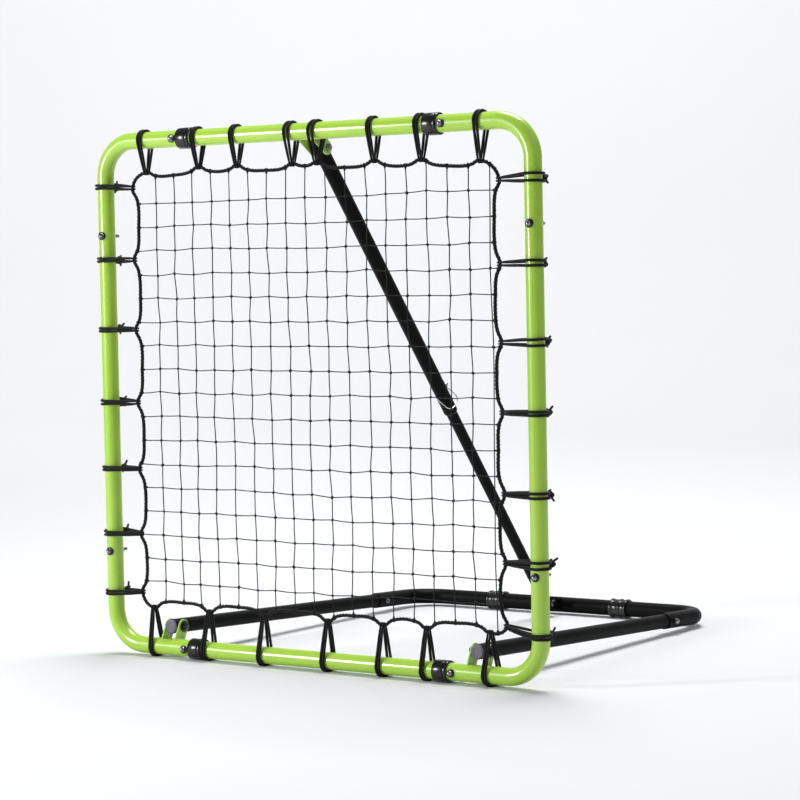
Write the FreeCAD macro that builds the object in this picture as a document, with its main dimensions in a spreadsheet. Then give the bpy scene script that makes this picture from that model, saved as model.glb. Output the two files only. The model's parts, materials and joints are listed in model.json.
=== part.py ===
import FreeCAD, Part
import math
import os
from types import SimpleNamespace
import Sketcher
from FreeCAD import Placement, Rotation, Vector

# Rebounder: a square net panel that leans back on a low tube base, held by a telescopic strut.
# Millimetres, +Z up, seen from the front with X to the right and Y to the back. The origin is on the
# floor, in the middle of the outer box. "Panel plane" is the plane through the panel's tube centres.

SIZES = {
    # Panel frame: four straight tubes with drawn-in ends, and four bent corners that slip over them
    "panel_tube": 32,
    "panel_wall": 1.5,
    "straight_half": 285,
    "elbow_arm": 199,
    "panel_bend": 68,
    "spigot_length": 45,
    "spigot_play": 0.15,
    "neck_length": 4,
    "neck_taper": 2,
    "seam_gap": 0.3,
    # Collars over the seams of the top and bottom bars
    "collar_radius": 20,
    "collar_groove": 1.1,
    "collar_inboard": 20,
    "collar_outboard": 10,
    "collar_ring": 5.5,
    "collar_gap": 1.5,
    "collar_play": 0.1,
    # Bolts through the seams of both frames
    "seam_bolt": 6,
    "bolt_from_seam": 19.8,
    "bolt_play": 0.1,
    "bolt_tail": 17,
    "cap_radius": 5.6,
    "cap_height": 5.5,
    "washer_radius": 6.4,
    "washer_height": 2.5,
    "washer_edge": 1.5,
    "washer_chamfer": 1,
    "nut_flats": 10,
    "nut_height": 5,
    # Pivot bolts
    "pivot_bolt": 8,
    "pivot_play": 0.05,
    "pivot_flats": 13,
    "pivot_head": 5.5,
    "pivot_nut": 6,
    "pivot_tail": 3,
    "flange": 2,
    "flange_radius": 11,
    # Welded ears: on the bottom bar for the legs, on the top bar and on the rear bar for the strut
    "ear_thickness": 3,
    "ear_half_width": 13.5,
    "foot_half_width": 12,
    "weld_gap": 0.1,
    "leg_side_gap": 0.6,
    "strut_side_gap": 0.6,
    "foot_side_gap": 0.3,
    "stub_gap": 0.3,
    "hinge_back": 20,
    "hinge_rise": 38,
    "top_back": 42,
    "top_drop": 29,
    "foot_forward": 52,
    "foot_rise": 10,
    # Base frame: leg tubes that slip into two wider bent corners, and a rear bar as wide as those
    "base_tube": 28,
    "base_wall": 1.5,
    "rear_wall": 1.85,
    "leg_from_seam": 65,
    "leg_run": 834,
    "leg_front": 16.5,
    "base_bend": 70,
    "base_elbow_leg": 177,
    "base_elbow_bar": 197,
    "base_spigot": 40,
    "sleeve_radius": 20,
    "sleeve_groove": 1.2,
    "sleeve_rib": 4.5,
    "sleeve_inboard": 22,
    "sleeve_outboard": 17,
    "plug_flange": 2.5,
    "plug_depth": 7,
    "plug_chamfer": 3.2,
    "plug_edge": 0.4,
    # Strut: an outer tube from the top bar that slides over an inner tube from the rear bar
    "outer_tube": 28,
    "outer_wall": 1.2,
    "outer_reach": 654,
    "outer_over": 15,
    "inner_tube": 22,
    "inner_wall": 1.5,
    "inner_over": 13,
    "strut_overlap": 94,
    "guide_length": 30,
    "guide_play": 0.15,
    "plug_length": 34,
    # Lock pin through the strut, and its wire bail
    "pin_bolt": 6,
    "pin_play": 0.2,
    "pin_from_end": 49,
    "pin_stand_off": 0.3,
    "pin_flange": 7,
    "pin_head": 8,
    "wire": 2,
    "wire_eye": 22,
    "wire_stand_off": 1.4,
    "wire_play": 0.1,
    "wire_reach": 38,
    "wire_span": 20,
    "wire_bend": 15,
    "wire_hook_bend": 3,
    "wire_hang": 60,
    # Lean of the panel at the strut's other three holes, in degrees
    "lean_first": 14,
    "lean_second": 30,
    "lean_third": 43,
    # Border rope, elastic ties and net
    "rope": 6.5,
    "rope_side": 67,
    "rope_top": 60,
    "rope_bottom": 73.5,
    "rope_dip": 20,
    "rope_bottom_dip": 30,
    "tie_strand": 5.2,
    "tie_spacing": 5.6,
    "rope_play": 0.6,
    "tie_play": 0.2,
    "knot_radius": 8,
    "tail_length": 13,
    "tail_radius": 2.4,
    "net_string": 2,
    "net_rim": 2,
    "net_play": 0.3,
}
NET_CELLS = 17

# Places of the ties along each side, seen from the front and counted anticlockwise. Up to 1 a value is
# a share of the free straight run between the seams; past 1 it is a share of the run beyond the seam.
TIES = {
    "ties_bottom": (-1.04, -0.99, -0.474, 0.095, 0.577, 0.951, 1.07),
    "ties_right": (-1.72, -0.989, -0.57, -0.078, 0.347, 0.822, 1.66),
    "ties_top": (-1.61, -0.984, -0.589, -0.106, 0.128, 0.625, 0.988, 1.65),
    "ties_left": (-1.82, -0.898, -0.432, 0.056, 0.499, 0.937, 1.68),
}
# Curve of a bolt's round head, as shares of its height from the top and of its radius
CAP_CURVE = ((0.1, 0.45), (0.35, 0.8), (0.7, 1))
# Directions of a tie's two tails, along the tube, backward and inward
TAILS = (Vector(0.35, 0.75, 0.55), Vector(-0.4, 0.8, -0.45))
# Share of the shorter run beside it that half of a bend in the border rope takes
ROPE_BEND_SHARE = 0.45
SIDE_NAMES = ("bottom_bar", "right_post", "top_bar", "left_post")
CORNER_NAMES = ("bottom_right_elbow", "top_right_elbow", "top_left_elbow", "bottom_left_elbow")


class Size:
    """A number together with the sheet expression that gives it."""

    def __init__(self, value, text):
        self.value = float(value)
        self.text = text

    def __add__(self, other):
        return combine(self, "+", other, self.value + plain(other))

    def __sub__(self, other):
        return combine(self, "-", other, self.value - plain(other))

    def __mul__(self, other):
        return combine(self, "*", other, self.value * plain(other))

    def __truediv__(self, other):
        return combine(self, "/", other, self.value / plain(other))

    def __neg__(self):
        return Size(-self.value, "(0 - %s)" % self.text)


def plain(size):
    return size.value if isinstance(size, Size) else float(size)


def worded(size):
    return size.text if isinstance(size, Size) else "(%r)" % float(size)


def combine(first, sign, second, value):
    return Size(value, "(%s %s %s)" % (worded(first), sign, worded(second)))


def fixed(number):
    return Size(number, "(%r)" % float(number))


def diagonal(first, second):
    text = "sqrt(%s ^ 2 + %s ^ 2)" % (worded(first), worded(second))
    return Size(math.hypot(plain(first), plain(second)), text)


doc = FreeCAD.newDocument("Rebounder")
sheet = doc.addObject("Spreadsheet::Sheet", "Sizes")
for row, (alias, number) in enumerate(SIZES.items(), 1):
    sheet.set("A%d" % row, alias)
    sheet.set("B%d" % row, str(number))
    sheet.setAlias("B%d" % row, alias)
doc.recompute()
S = SimpleNamespace(**{alias: Size(sheet.get(alias), "Sizes." + alias) for alias in SIZES})
V = SimpleNamespace(**{alias: float(sheet.get(alias)) for alias in SIZES})

# Measures that follow from the driving sizes
panel_half = S.straight_half + S.elbow_arm
bar_low = V.collar_radius
bar_high = bar_low + 2 * panel_half.value
panel_middle = bar_low + panel_half.value
leg_side = S.straight_half + S.leg_from_seam
rear_tube = S.base_tube + (S.spigot_play + S.rear_wall) * 2
rear_low = V.sleeve_radius
front_reach = V.panel_tube / 2 + V.washer_height + V.cap_height
rear_reach = V.hinge_back + V.leg_run + V.sleeve_radius
panel_plane = -(rear_reach - front_reach) / 2
hinge = Vector(0, panel_plane + V.hinge_back, bar_low + V.hinge_rise)
top_pivot = Vector(0, panel_plane + V.top_back, bar_high - V.top_drop)
rear_axis = Vector(0, hinge.y + V.leg_run, rear_low)
foot_pivot = rear_axis + Vector(0, -V.foot_forward, V.foot_rise)
leg_drop = math.atan2(hinge.z - rear_axis.z, V.leg_run)
leg_length = diagonal(S.leg_run, S.collar_radius + S.hinge_rise - S.sleeve_radius)
strut_down = (foot_pivot - top_pivot).normalize()
strut_length = (foot_pivot - top_pivot).Length
inner_reach = strut_length - V.outer_reach + V.strut_overlap
pin_from_top = V.outer_reach - V.pin_from_end
made = []


def strut_length_at(lean):
    """Distance between the strut's pivots when the panel leans back by so many degrees."""
    arm = Rotation(RIGHT, -lean).multVec(top_pivot - hinge)
    return (hinge + arm - foot_pivot).Length


def facing(along, across):
    """The rotation that turns local X to `along` and local Z to `across`."""
    third = across.cross(along)
    matrix = FreeCAD.Matrix(
        along.x, third.x, across.x, 0,
        along.y, third.y, across.y, 0,
        along.z, third.z, across.z, 0,
        0, 0, 0, 1)
    return Rotation(matrix)


RIGHT = Vector(1, 0, 0)
BACK = Vector(0, 1, 0)
UP = Vector(0, 0, 1)
ALONG_LEG = facing(Vector(0, math.cos(leg_drop), -math.sin(leg_drop)),
                   Vector(0, math.sin(leg_drop), math.cos(leg_drop)))
strut_back = Vector(0, -strut_down.z, strut_down.y)
ALONG_STRUT = facing(strut_down, strut_back)


def side_frame(turn, along=0.0, inward=0.0, behind=0.0):
    """A frame on side `turn` of the panel: X runs anticlockwise along the tube, Z points inward."""
    middle = Placement(Vector(0, panel_plane, panel_middle), Rotation(BACK, -90 * turn))
    return middle.multiply(Placement(Vector(along, behind, inward - panel_half.value), Rotation()))


def new_body(label, placement=None):
    body = doc.addObject("PartDesign::Body", label)
    body.Label = label
    body.AllowCompound = True
    if placement is not None:
        body.Placement = placement
    return body


def keep(node):
    made.append(node)
    return node


def plane_of(body, role):
    return next(item for item in body.Origin.OriginFeatures if item.Role == role)


def new_sketch(body, name, role, offset=None):
    sketch = body.newObject("Sketcher::SketchObject", name)
    sketch.AttachmentSupport = [(plane_of(body, role), "")]
    sketch.MapMode = "FlatFace"
    if offset is not None:
        sketch.AttachmentOffset = Placement(Vector(0, 0, plain(offset)), Rotation())
        sketch.setExpression("AttachmentOffset.Base.z", worded(offset))
    return sketch


def bind(sketch, kind, *where_and_size):
    """Adds a constraint whose last argument is its size, tied to the sheet."""
    *where, size = where_and_size
    index = sketch.addConstraint(Sketcher.Constraint(kind, *where, plain(size)))
    sketch.setExpression("Constraints[%d]" % index, worded(size))


def set_point(sketch, element, end, x, y):
    for kind, axis, size in (("DistanceX", -2, x), ("DistanceY", -1, y)):
        if abs(plain(size)) < 1e-9:
            sketch.addConstraint(Sketcher.Constraint("PointOnObject", element, end, axis))
        else:
            bind(sketch, kind, element, end, size)


def draw_outline(sketch, points):
    """A closed outline of straight lines through points of sizes."""
    first = sketch.GeometryCount
    count = len(points)
    for index in range(count):
        start = points[index]
        end = points[(index + 1) % count]
        sketch.addGeometry(Part.LineSegment(
            Vector(plain(start[0]), plain(start[1]), 0), Vector(plain(end[0]), plain(end[1]), 0)))
    for index in range(count):
        following = first + (index + 1) % count
        sketch.addConstraint(Sketcher.Constraint("Coincident", first + index, 2, following, 1))
        set_point(sketch, first + index, 1, *points[index])


def draw_circle(sketch, x, y, radius):
    centre = Vector(plain(x), plain(y), 0)
    circle = sketch.addGeometry(Part.Circle(centre, UP, plain(radius)))
    set_point(sketch, circle, 3, x, y)
    bind(sketch, "Radius", circle, radius)


def turned(body, points):
    """A solid turned about the body's X axis from points (place along the axis, radius)."""
    sketch = new_sketch(body, "Outline", "XY_Plane")
    draw_outline(sketch, points)
    solid = body.newObject("PartDesign::Revolution", "Turned")
    solid.Profile = sketch
    solid.ReferenceAxis = (sketch, ["H_Axis"])
    solid.Angle = 360
    doc.recompute()
    return solid


def pierced(body, role, circles):
    """Round holes right through the body, square to one of its planes."""
    before = body.Shape.Volume
    sketch = new_sketch(body, "Holes", role)
    for x, y, radius in circles:
        draw_circle(sketch, x, y, radius)
    pocket = body.newObject("PartDesign::Pocket", "Pierced")
    pocket.Profile = sketch
    pocket.Type = "ThroughAll"
    pocket.Midplane = True
    doc.recompute()
    if body.Shape.Volume > before - 1e-3:
        raise ValueError(body.Label + ": the holes cut nothing")


def padded(body, sketch, length):
    pad = body.newObject("PartDesign::Pad", "Padded")
    pad.Profile = sketch
    pad.Length = plain(length)
    pad.setExpression("Length", worded(length))
    doc.recompute()
    return pad


def straight_tube(label, placement, half, tube, wall, spigot, holes):
    """A straight tube about X with both ends drawn in, and cross holes in the drawn-in ends."""
    outer = tube / 2
    bore = outer - wall
    neck = bore - S.spigot_play
    neck_bore = neck - wall
    body = new_body(label, placement)
    turned(body, (
        (-half - spigot, neck), (-half, neck), (-half, outer), (half, outer), (half, neck),
        (half + spigot, neck), (half + spigot, neck_bore), (half - S.neck_length, neck_bore),
        (half - S.neck_length - S.neck_taper, bore), (-half + S.neck_length + S.neck_taper, bore),
        (-half + S.neck_length, neck_bore), (-half - spigot, neck_bore)))
    if holes:
        hole = S.seam_bolt / 2 + S.bolt_play
        place = half + S.bolt_from_seam
        pierced(body, "XZ_Plane", ((-place, 0, hole), (place, 0, hole)))
    return keep(body)


def bent_tube(label, placement, start, end, bend, tube, wall, corner, hole_spots):
    """A tube that runs along X, bends a quarter turn about `corner` and ends along local Z."""
    body = new_body(label, placement)
    corner_x, corner_z = corner
    outer = tube / 2
    path = new_sketch(body, "Route", "XZ_Plane")
    bend_x = corner_x - bend
    bend_z = corner_z + bend
    run = path.addGeometry(Part.LineSegment(
        Vector(plain(start), plain(corner_z), 0), Vector(plain(bend_x), plain(corner_z), 0)))
    turn = path.addGeometry(Part.ArcOfCircle(
        Part.Circle(Vector(plain(bend_x), plain(bend_z), 0), UP, plain(bend)), -math.pi / 2, 0))
    rise = path.addGeometry(Part.LineSegment(
        Vector(plain(corner_x), plain(bend_z), 0), Vector(plain(corner_x), plain(end), 0)))
    set_point(path, run, 1, start, corner_z)
    path.addConstraint(Sketcher.Constraint("Horizontal", run))
    path.addConstraint(Sketcher.Constraint("Tangent", run, 2, turn, 1))
    path.addConstraint(Sketcher.Constraint("Tangent", turn, 2, rise, 1))
    path.addConstraint(Sketcher.Constraint("Vertical", rise))
    bind(path, "Radius", turn, bend)
    set_point(path, rise, 2, corner_x, end)
    ring = new_sketch(body, "Section", "YZ_Plane", start)
    draw_circle(ring, 0, corner_z, outer)
    draw_circle(ring, 0, corner_z, outer - wall)
    pipe = body.newObject("PartDesign::AdditivePipe", "Bent")
    pipe.Profile = ring
    pipe.Spine = path
    doc.recompute()
    if hole_spots:
        hole = S.seam_bolt / 2 + S.bolt_play
        pierced(body, "XZ_Plane", [(x, z, hole) for x, z in hole_spots])
    return keep(body)


def ear_pair(label, placement, reach, half_width, tube, half_gap):
    """Two welded ears: X runs from the tube's centre to the pivot and the bolt lies along Z."""
    body = new_body(label, placement)
    sketch = new_sketch(body, "Ear", "XY_Plane", half_gap)
    notch = tube / 2 + S.weld_gap
    far, wide, deep = plain(reach), plain(half_width), plain(notch)
    near = math.sqrt(deep ** 2 - wide ** 2)
    lean = math.asin(wide / deep)
    low = sketch.addGeometry(Part.LineSegment(Vector(near, -wide, 0), Vector(far, -wide, 0)))
    tip = sketch.addGeometry(Part.ArcOfCircle(
        Part.Circle(Vector(far, 0, 0), UP, wide), -math.pi / 2, math.pi / 2))
    high = sketch.addGeometry(Part.LineSegment(Vector(far, wide, 0), Vector(near, wide, 0)))
    seat = sketch.addGeometry(Part.ArcOfCircle(Part.Circle(Vector(), UP, deep), -lean, lean))
    for first, first_end, second, second_end in (
            (low, 2, tip, 1), (tip, 2, high, 1), (high, 2, seat, 2), (seat, 1, low, 1), (seat, 3, -1, 1)):
        sketch.addConstraint(Sketcher.Constraint("Coincident", first, first_end, second, second_end))
    set_point(sketch, tip, 3, reach, 0)
    bind(sketch, "Radius", seat, notch)
    bind(sketch, "Radius", tip, half_width)
    bind(sketch, "DistanceX", low, 2, reach)
    bind(sketch, "DistanceX", tip, 2, reach)
    sketch.addConstraint(Sketcher.Constraint("Horizontal", low))
    sketch.addConstraint(Sketcher.Constraint("Horizontal", high))
    draw_circle(sketch, reach, 0, S.pivot_bolt / 2 + S.pivot_play)
    ear = padded(body, sketch, S.ear_thickness)
    both = body.newObject("PartDesign::Mirrored", "Both")
    both.Originals = [ear]
    both.MirrorPlane = (plane_of(body, "XY_Plane"), [""])
    body.Tip = both
    doc.recompute()
    return keep(body)


def hexagon(flats):
    corner = flats / math.sqrt(3)
    turns = [math.pi / 3 * step for step in range(6)]
    return [(corner * round(math.cos(turn), 12), corner * round(math.sin(turn), 12)) for turn in turns]


def pivot_screw(name, tip, head_base, flange=0):
    """A hex bolt along Z: the head or its flange stands on `head_base`, and the shank ends at `tip`."""
    body = new_body(name)
    shank = new_sketch(body, "Shank", "XY_Plane", tip)
    draw_circle(shank, 0, 0, S.pivot_bolt / 2)
    padded(body, shank, head_base - tip)
    if flange:
        disc = new_sketch(body, "Flange", "XY_Plane", head_base)
        draw_circle(disc, 0, 0, S.flange_radius)
        padded(body, disc, flange)
    head = new_sketch(body, "Head", "XY_Plane", head_base + flange)
    draw_outline(head, hexagon(S.pivot_flats))
    padded(body, head, S.pivot_head)
    return body


def hex_nut(name, flats, height, bore):
    """A hex nut that stands on the plane Z = 0."""
    body = new_body(name)
    sketch = new_sketch(body, "Outline", "XY_Plane")
    draw_outline(sketch, hexagon(flats))
    draw_circle(sketch, 0, 0, bore)
    padded(body, sketch, height)
    return body


def copies(label, pattern, placements):
    """One node with a copy of the same piece at each placement."""
    links = []
    for number, placement in enumerate(placements, 1):
        link = doc.addObject("App::Link", "%s_%d" % (label, number))
        link.LinkedObject = pattern
        link.LinkTransform = True
        link.Placement = placement
        links.append(link)
    group = doc.addObject("Part::Compound", label)
    group.Label = label
    group.Links = links
    doc.recompute()
    return keep(group)


def panel_frame():
    holes_at = S.straight_half + S.bolt_from_seam
    seam = S.straight_half + S.seam_gap
    for turn in range(4):
        straight_tube(SIDE_NAMES[turn], side_frame(turn), S.straight_half, S.panel_tube, S.panel_wall,
                      S.spigot_length, True)
        middle = Placement(Vector(0, panel_plane, panel_middle), Rotation(BACK, -90 * turn))
        bent_tube(CORNER_NAMES[turn], middle, seam, -seam, S.panel_bend, S.panel_tube, S.panel_wall,
                  (panel_half, -panel_half), ((holes_at, -panel_half), (panel_half, -holes_at)))


def collars():
    """Plastic collars over the seams: a wide band, a groove and a narrow ring on the right of each."""
    bore = S.panel_tube / 2 + S.collar_play
    rib = S.collar_radius
    groove = rib - S.collar_groove
    half = (S.collar_inboard + S.collar_outboard) / 2
    away = plain(S.straight_half + S.collar_outboard - half)
    ring = half - S.collar_ring
    band = ring - S.collar_gap
    for name, height, sign in (("bottom_right_collar", bar_low, 1), ("bottom_left_collar", bar_low, -1),
                               ("top_left_collar", bar_high, -1), ("top_right_collar", bar_high, 1)):
        body = new_body(name, Placement(Vector(sign * away, panel_plane, height), Rotation()))
        turned(body, (
            (-half, bore), (half, bore), (half, groove), (half - S.collar_groove, rib), (ring, rib),
            (ring, groove), (band, groove), (band, rib), (-half + S.collar_groove, rib),
            (-half, groove)))
        keep(body)


def seam_bolt_pattern(name, tube, tail):
    """A round-headed bolt along X whose head stands on a washer in front of the tube's centre."""
    shank = S.seam_bolt / 2
    seat = -(tube / 2 + S.washer_height)
    dome = seat - S.cap_height
    body = new_body(name)
    curve = [(dome + S.cap_height * down, S.cap_radius * out) for down, out in CAP_CURVE]
    turned(body, [(dome, 0)] + curve + [
        (seat, S.cap_radius), (seat, shank), (tube / 2 + tail, shank), (tube / 2 + tail, 0)])
    return body


def saddle_washer_pattern(name, tube):
    """A round washer about X, hollowed to sit on a tube that runs along its own Z."""
    outer = tube / 2
    bore = S.seam_bolt / 2 + S.bolt_play
    body = new_body(name)
    turned(body, (
        (-(outer + S.washer_height), bore), (-outer + S.washer_height, bore),
        (-outer + S.washer_height, S.washer_radius), (-(outer + S.washer_edge), S.washer_radius),
        (-(outer + S.washer_height), S.washer_radius - S.washer_chamfer)))
    pierced(body, "XY_Plane", ((0, 0, outer + S.weld_gap),))
    return body


def panel_fasteners():
    """Eight bolts through the panel's seams: round heads in front, nuts and threaded ends behind."""
    bolt = seam_bolt_pattern("PanelBolt", S.panel_tube, S.bolt_tail)
    washer = saddle_washer_pattern("PanelWasher", S.panel_tube)
    nut = hex_nut("PanelNut", S.nut_flats, S.nut_height, S.seam_bolt / 2 + S.bolt_play)
    spot = V.straight_half + V.bolt_from_seam
    through = facing(BACK, UP)
    across = facing(BACK, RIGHT)
    behind = facing(RIGHT, BACK)
    spots = [(turn, along) for turn in range(4) for along in (-spot, spot)]
    clear = V.panel_tube / 2 + V.weld_gap
    copies("panel_bolts", bolt, [side_frame(*s).multiply(Placement(Vector(), through)) for s in spots])
    copies("panel_washers", washer, [side_frame(*s).multiply(Placement(Vector(), across)) for s in spots])
    copies("panel_nuts", nut,
           [side_frame(*s, behind=clear).multiply(Placement(Vector(), behind)) for s in spots])


def front_hinges():
    """Ears on the bottom bar, and the bolts that the legs swing on."""
    reach = diagonal(S.hinge_back, S.hinge_rise)
    half_gap = S.base_tube / 2 + S.leg_side_gap
    toward = Vector(0, V.hinge_back, V.hinge_rise).normalize()
    for name, sign in (("left_hinge_ears", -1), ("right_hinge_ears", 1)):
        base = Vector(sign * leg_side.value, panel_plane, bar_low)
        ear_pair(name, Placement(base, facing(toward, RIGHT)), reach, S.ear_half_width, S.panel_tube,
                 half_gap)
    outside = half_gap + S.ear_thickness
    bolt = pivot_screw("HingeBolt", -outside - S.pivot_nut - S.pivot_tail, outside, S.flange)
    nut = hex_nut("HingeNut", S.pivot_flats, S.pivot_nut, S.pivot_bolt / 2 + S.pivot_play)
    toward_right = facing(BACK, RIGHT)
    toward_left = facing(BACK, -RIGHT)
    sides = (-leg_side.value, leg_side.value)
    copies("hinge_bolts", bolt, [Placement(hinge + RIGHT * x, toward_right) for x in sides])
    copies("hinge_nuts", nut,
           [Placement(hinge + RIGHT * (x - plain(outside)), toward_left) for x in sides])


def top_bracket():
    """Ears under the top bar with a bolt in two stubs, one on each side of the strut."""
    reach = diagonal(S.top_back, S.top_drop)
    half_gap = S.outer_tube / 2 + S.strut_side_gap
    toward = Vector(0, V.top_back, -V.top_drop).normalize()
    base = Vector(0, panel_plane, bar_high)
    ear_pair("top_ears", Placement(base, facing(toward, RIGHT)), reach, S.ear_half_width, S.panel_tube,
             half_gap)
    outside = half_gap + S.ear_thickness
    inside = S.outer_tube / 2 + S.stub_gap
    head = pivot_screw("TopBolt", inside, outside)
    end = new_body("TopBoltEnd")
    sketch = new_sketch(end, "Shank", "XY_Plane", inside)
    draw_circle(sketch, 0, 0, S.pivot_bolt / 2)
    padded(end, sketch, outside + S.pivot_nut + S.pivot_tail - inside)
    nut = hex_nut("TopNut", S.pivot_flats, S.pivot_nut, S.pivot_bolt / 2 + S.pivot_play)
    copies("top_bolt_head_stub", head, [Placement(top_pivot, facing(BACK, RIGHT))])
    copies("top_bolt_end_stub", end, [Placement(top_pivot, facing(BACK, -RIGHT))])
    copies("top_bolt_nut", nut, [Placement(top_pivot - RIGHT * plain(outside), facing(BACK, -RIGHT))])


def legs():
    """Straight leg tubes: X runs back from the hinge, and the rear end goes into the elbow."""
    outer = S.base_tube / 2
    bore = outer - S.base_wall
    seam = leg_length - S.base_elbow_leg
    rear = seam + S.base_spigot
    front = -S.leg_front
    flange = S.plug_flange
    for side, sign in (("left", -1), ("right", 1)):
        place = Placement(hinge + RIGHT * (sign * leg_side.value), ALONG_LEG)
        tube = new_body(side + "_leg", place)
        turned(tube, ((front, outer), (rear, outer), (rear, bore), (front, bore)))
        pierced(tube, "XZ_Plane", ((0, 0, S.pivot_bolt / 2 + S.pivot_play),
                                   (seam + S.bolt_from_seam, 0, S.seam_bolt / 2 + S.bolt_play)))
        keep(tube)
        plug = new_body(side + "_leg_plug", place)
        turned(plug, (
            (front - flange, 0), (front - flange, outer - S.plug_chamfer),
            (front - flange / 2, outer - S.plug_edge), (front - S.spigot_play, outer - S.plug_edge),
            (front - S.spigot_play, bore - S.spigot_play), (front + S.plug_depth, bore - S.spigot_play),
            (front + S.plug_depth, 0)))
        keep(plug)


def rear_frame():
    """Two bent corners, the rear bar between them and a sleeve over each of its seams."""
    start = -(S.base_elbow_leg - S.seam_gap)
    end = S.base_elbow_bar - S.seam_gap
    half = leg_side - S.base_elbow_bar
    bolt_at = -(S.base_elbow_leg - S.bolt_from_seam)
    corner = (fixed(0), fixed(0))
    for side, sign in (("left", -1), ("right", 1)):
        place = Placement(rear_axis + RIGHT * (sign * leg_side.value),
                          facing(ALONG_LEG.multVec(RIGHT), RIGHT * -sign))
        elbow = bent_tube(side + "_rear_elbow", place, start, end, S.base_bend, rear_tube, S.rear_wall,
                          corner, ())
        hole = S.seam_bolt / 2 + S.bolt_play
        pierced(elbow, "XY_Plane", ((bolt_at, 0, hole),))
    straight_tube("rear_bar", Placement(rear_axis, Rotation()), half, rear_tube, S.rear_wall, S.base_spigot,
                  False)
    bore = rear_tube / 2 + S.collar_play
    rib = S.sleeve_radius
    groove = rib - S.sleeve_groove
    first = -S.sleeve_inboard
    last = S.sleeve_outboard
    for side, turn in (("left", 180), ("right", 0)):
        away = RIGHT * (half.value if turn == 0 else -half.value)
        sleeve = new_body(side + "_rear_sleeve", Placement(rear_axis + away, Rotation(UP, turn)))
        turned(sleeve, (
            (first, bore), (last, bore), (last, rib), (last - S.sleeve_rib, rib),
            (last - S.sleeve_rib, groove), (S.sleeve_rib / 2, groove), (S.sleeve_rib / 2, rib),
            (-S.sleeve_rib / 2, rib), (-S.sleeve_rib / 2, groove), (first + S.sleeve_rib, groove),
            (first + S.sleeve_rib, rib), (first, rib)))
        keep(sleeve)


def strut():
    """The outer tube with its plug and guide, and the inner tube with its plug and pin holes."""
    outer = S.outer_tube / 2
    bore = outer - S.outer_wall
    over = -S.outer_over
    reach = S.outer_reach
    pin_hole = S.pin_bolt / 2 + S.pin_play
    pivot_hole = S.pivot_bolt / 2 + S.pivot_play
    flange = S.plug_flange
    at_top = Placement(top_pivot, ALONG_STRUT)
    at_foot = Placement(foot_pivot, ALONG_STRUT)

    tube = new_body("strut_outer_tube", at_top)
    turned(tube, ((over, outer), (reach, outer), (reach, bore), (over, bore)))
    pierced(tube, "XZ_Plane", ((0, 0, pivot_hole),))
    pierced(tube, "XY_Plane", ((reach - S.pin_from_end, 0, pin_hole),))
    keep(tube)

    plug = new_body("strut_top_plug", at_top)
    snug = bore - S.spigot_play
    turned(plug, (
        (over - flange, 0), (over - flange, outer - S.plug_chamfer),
        (over - flange / 2, outer - S.plug_edge), (over - S.spigot_play, outer - S.plug_edge),
        (over - S.spigot_play, snug), (over + S.plug_length, snug), (over + S.plug_length, 0)))
    pierced(plug, "XZ_Plane", ((0, 0, pivot_hole),))
    keep(plug)

    inner = S.inner_tube / 2
    inner_bore = inner - S.inner_wall
    running = inner + S.guide_play
    guide = new_body("strut_guide", at_top)
    turned(guide, (
        (reach - S.guide_length, running), (reach + flange, running), (reach + flange, outer - S.plug_edge),
        (reach + S.spigot_play, outer - S.plug_edge), (reach + S.spigot_play, snug),
        (reach - S.guide_length, snug)))
    keep(guide)

    rod = new_body("strut_inner_tube", at_foot)
    top_end = fixed(-inner_reach)
    turned(rod, ((top_end, inner), (S.inner_over, inner), (S.inner_over, inner_bore), (top_end, inner_bore)))
    pierced(rod, "XZ_Plane", ((0, 0, pivot_hole),))
    leans = (0, V.lean_first, V.lean_second, V.lean_third)
    pierced(rod, "XY_Plane", [(fixed(pin_from_top - strut_length_at(lean)), 0, pin_hole) for lean in leans])
    keep(rod)

    end = new_body("strut_foot_plug", at_foot)
    clear = pivot_hole + S.plug_flange
    inner_snug = inner_bore - S.spigot_play
    turned(end, (
        (clear, 0), (clear, inner_snug), (S.inner_over + S.spigot_play, inner_snug),
        (S.inner_over + S.spigot_play, inner - S.plug_edge),
        (S.inner_over + flange / 2, inner - S.plug_edge),
        (S.inner_over + flange, inner - S.plug_chamfer), (S.inner_over + flange, 0)))
    keep(end)


def strut_foot():
    """Ears that reach forward from the rear bar, with the bolt that the inner tube swings on."""
    reach = diagonal(S.foot_forward, S.foot_rise)
    half_gap = S.inner_tube / 2 + S.foot_side_gap
    toward = (foot_pivot - rear_axis).normalize()
    ear_pair("foot_ears", Placement(rear_axis, facing(toward, RIGHT)), reach, S.foot_half_width, rear_tube,
             half_gap)
    outside = half_gap + S.ear_thickness
    bolt = pivot_screw("FootBolt", -outside - S.pivot_nut - S.pivot_tail, outside)
    nut = hex_nut("FootNut", S.pivot_flats, S.pivot_nut, S.pivot_bolt / 2 + S.pivot_play)
    copies("foot_bolt", bolt, [Placement(foot_pivot, facing(BACK, RIGHT))])
    copies("foot_bolt_nut", nut, [Placement(foot_pivot - RIGHT * plain(outside), facing(BACK, -RIGHT))])


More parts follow.
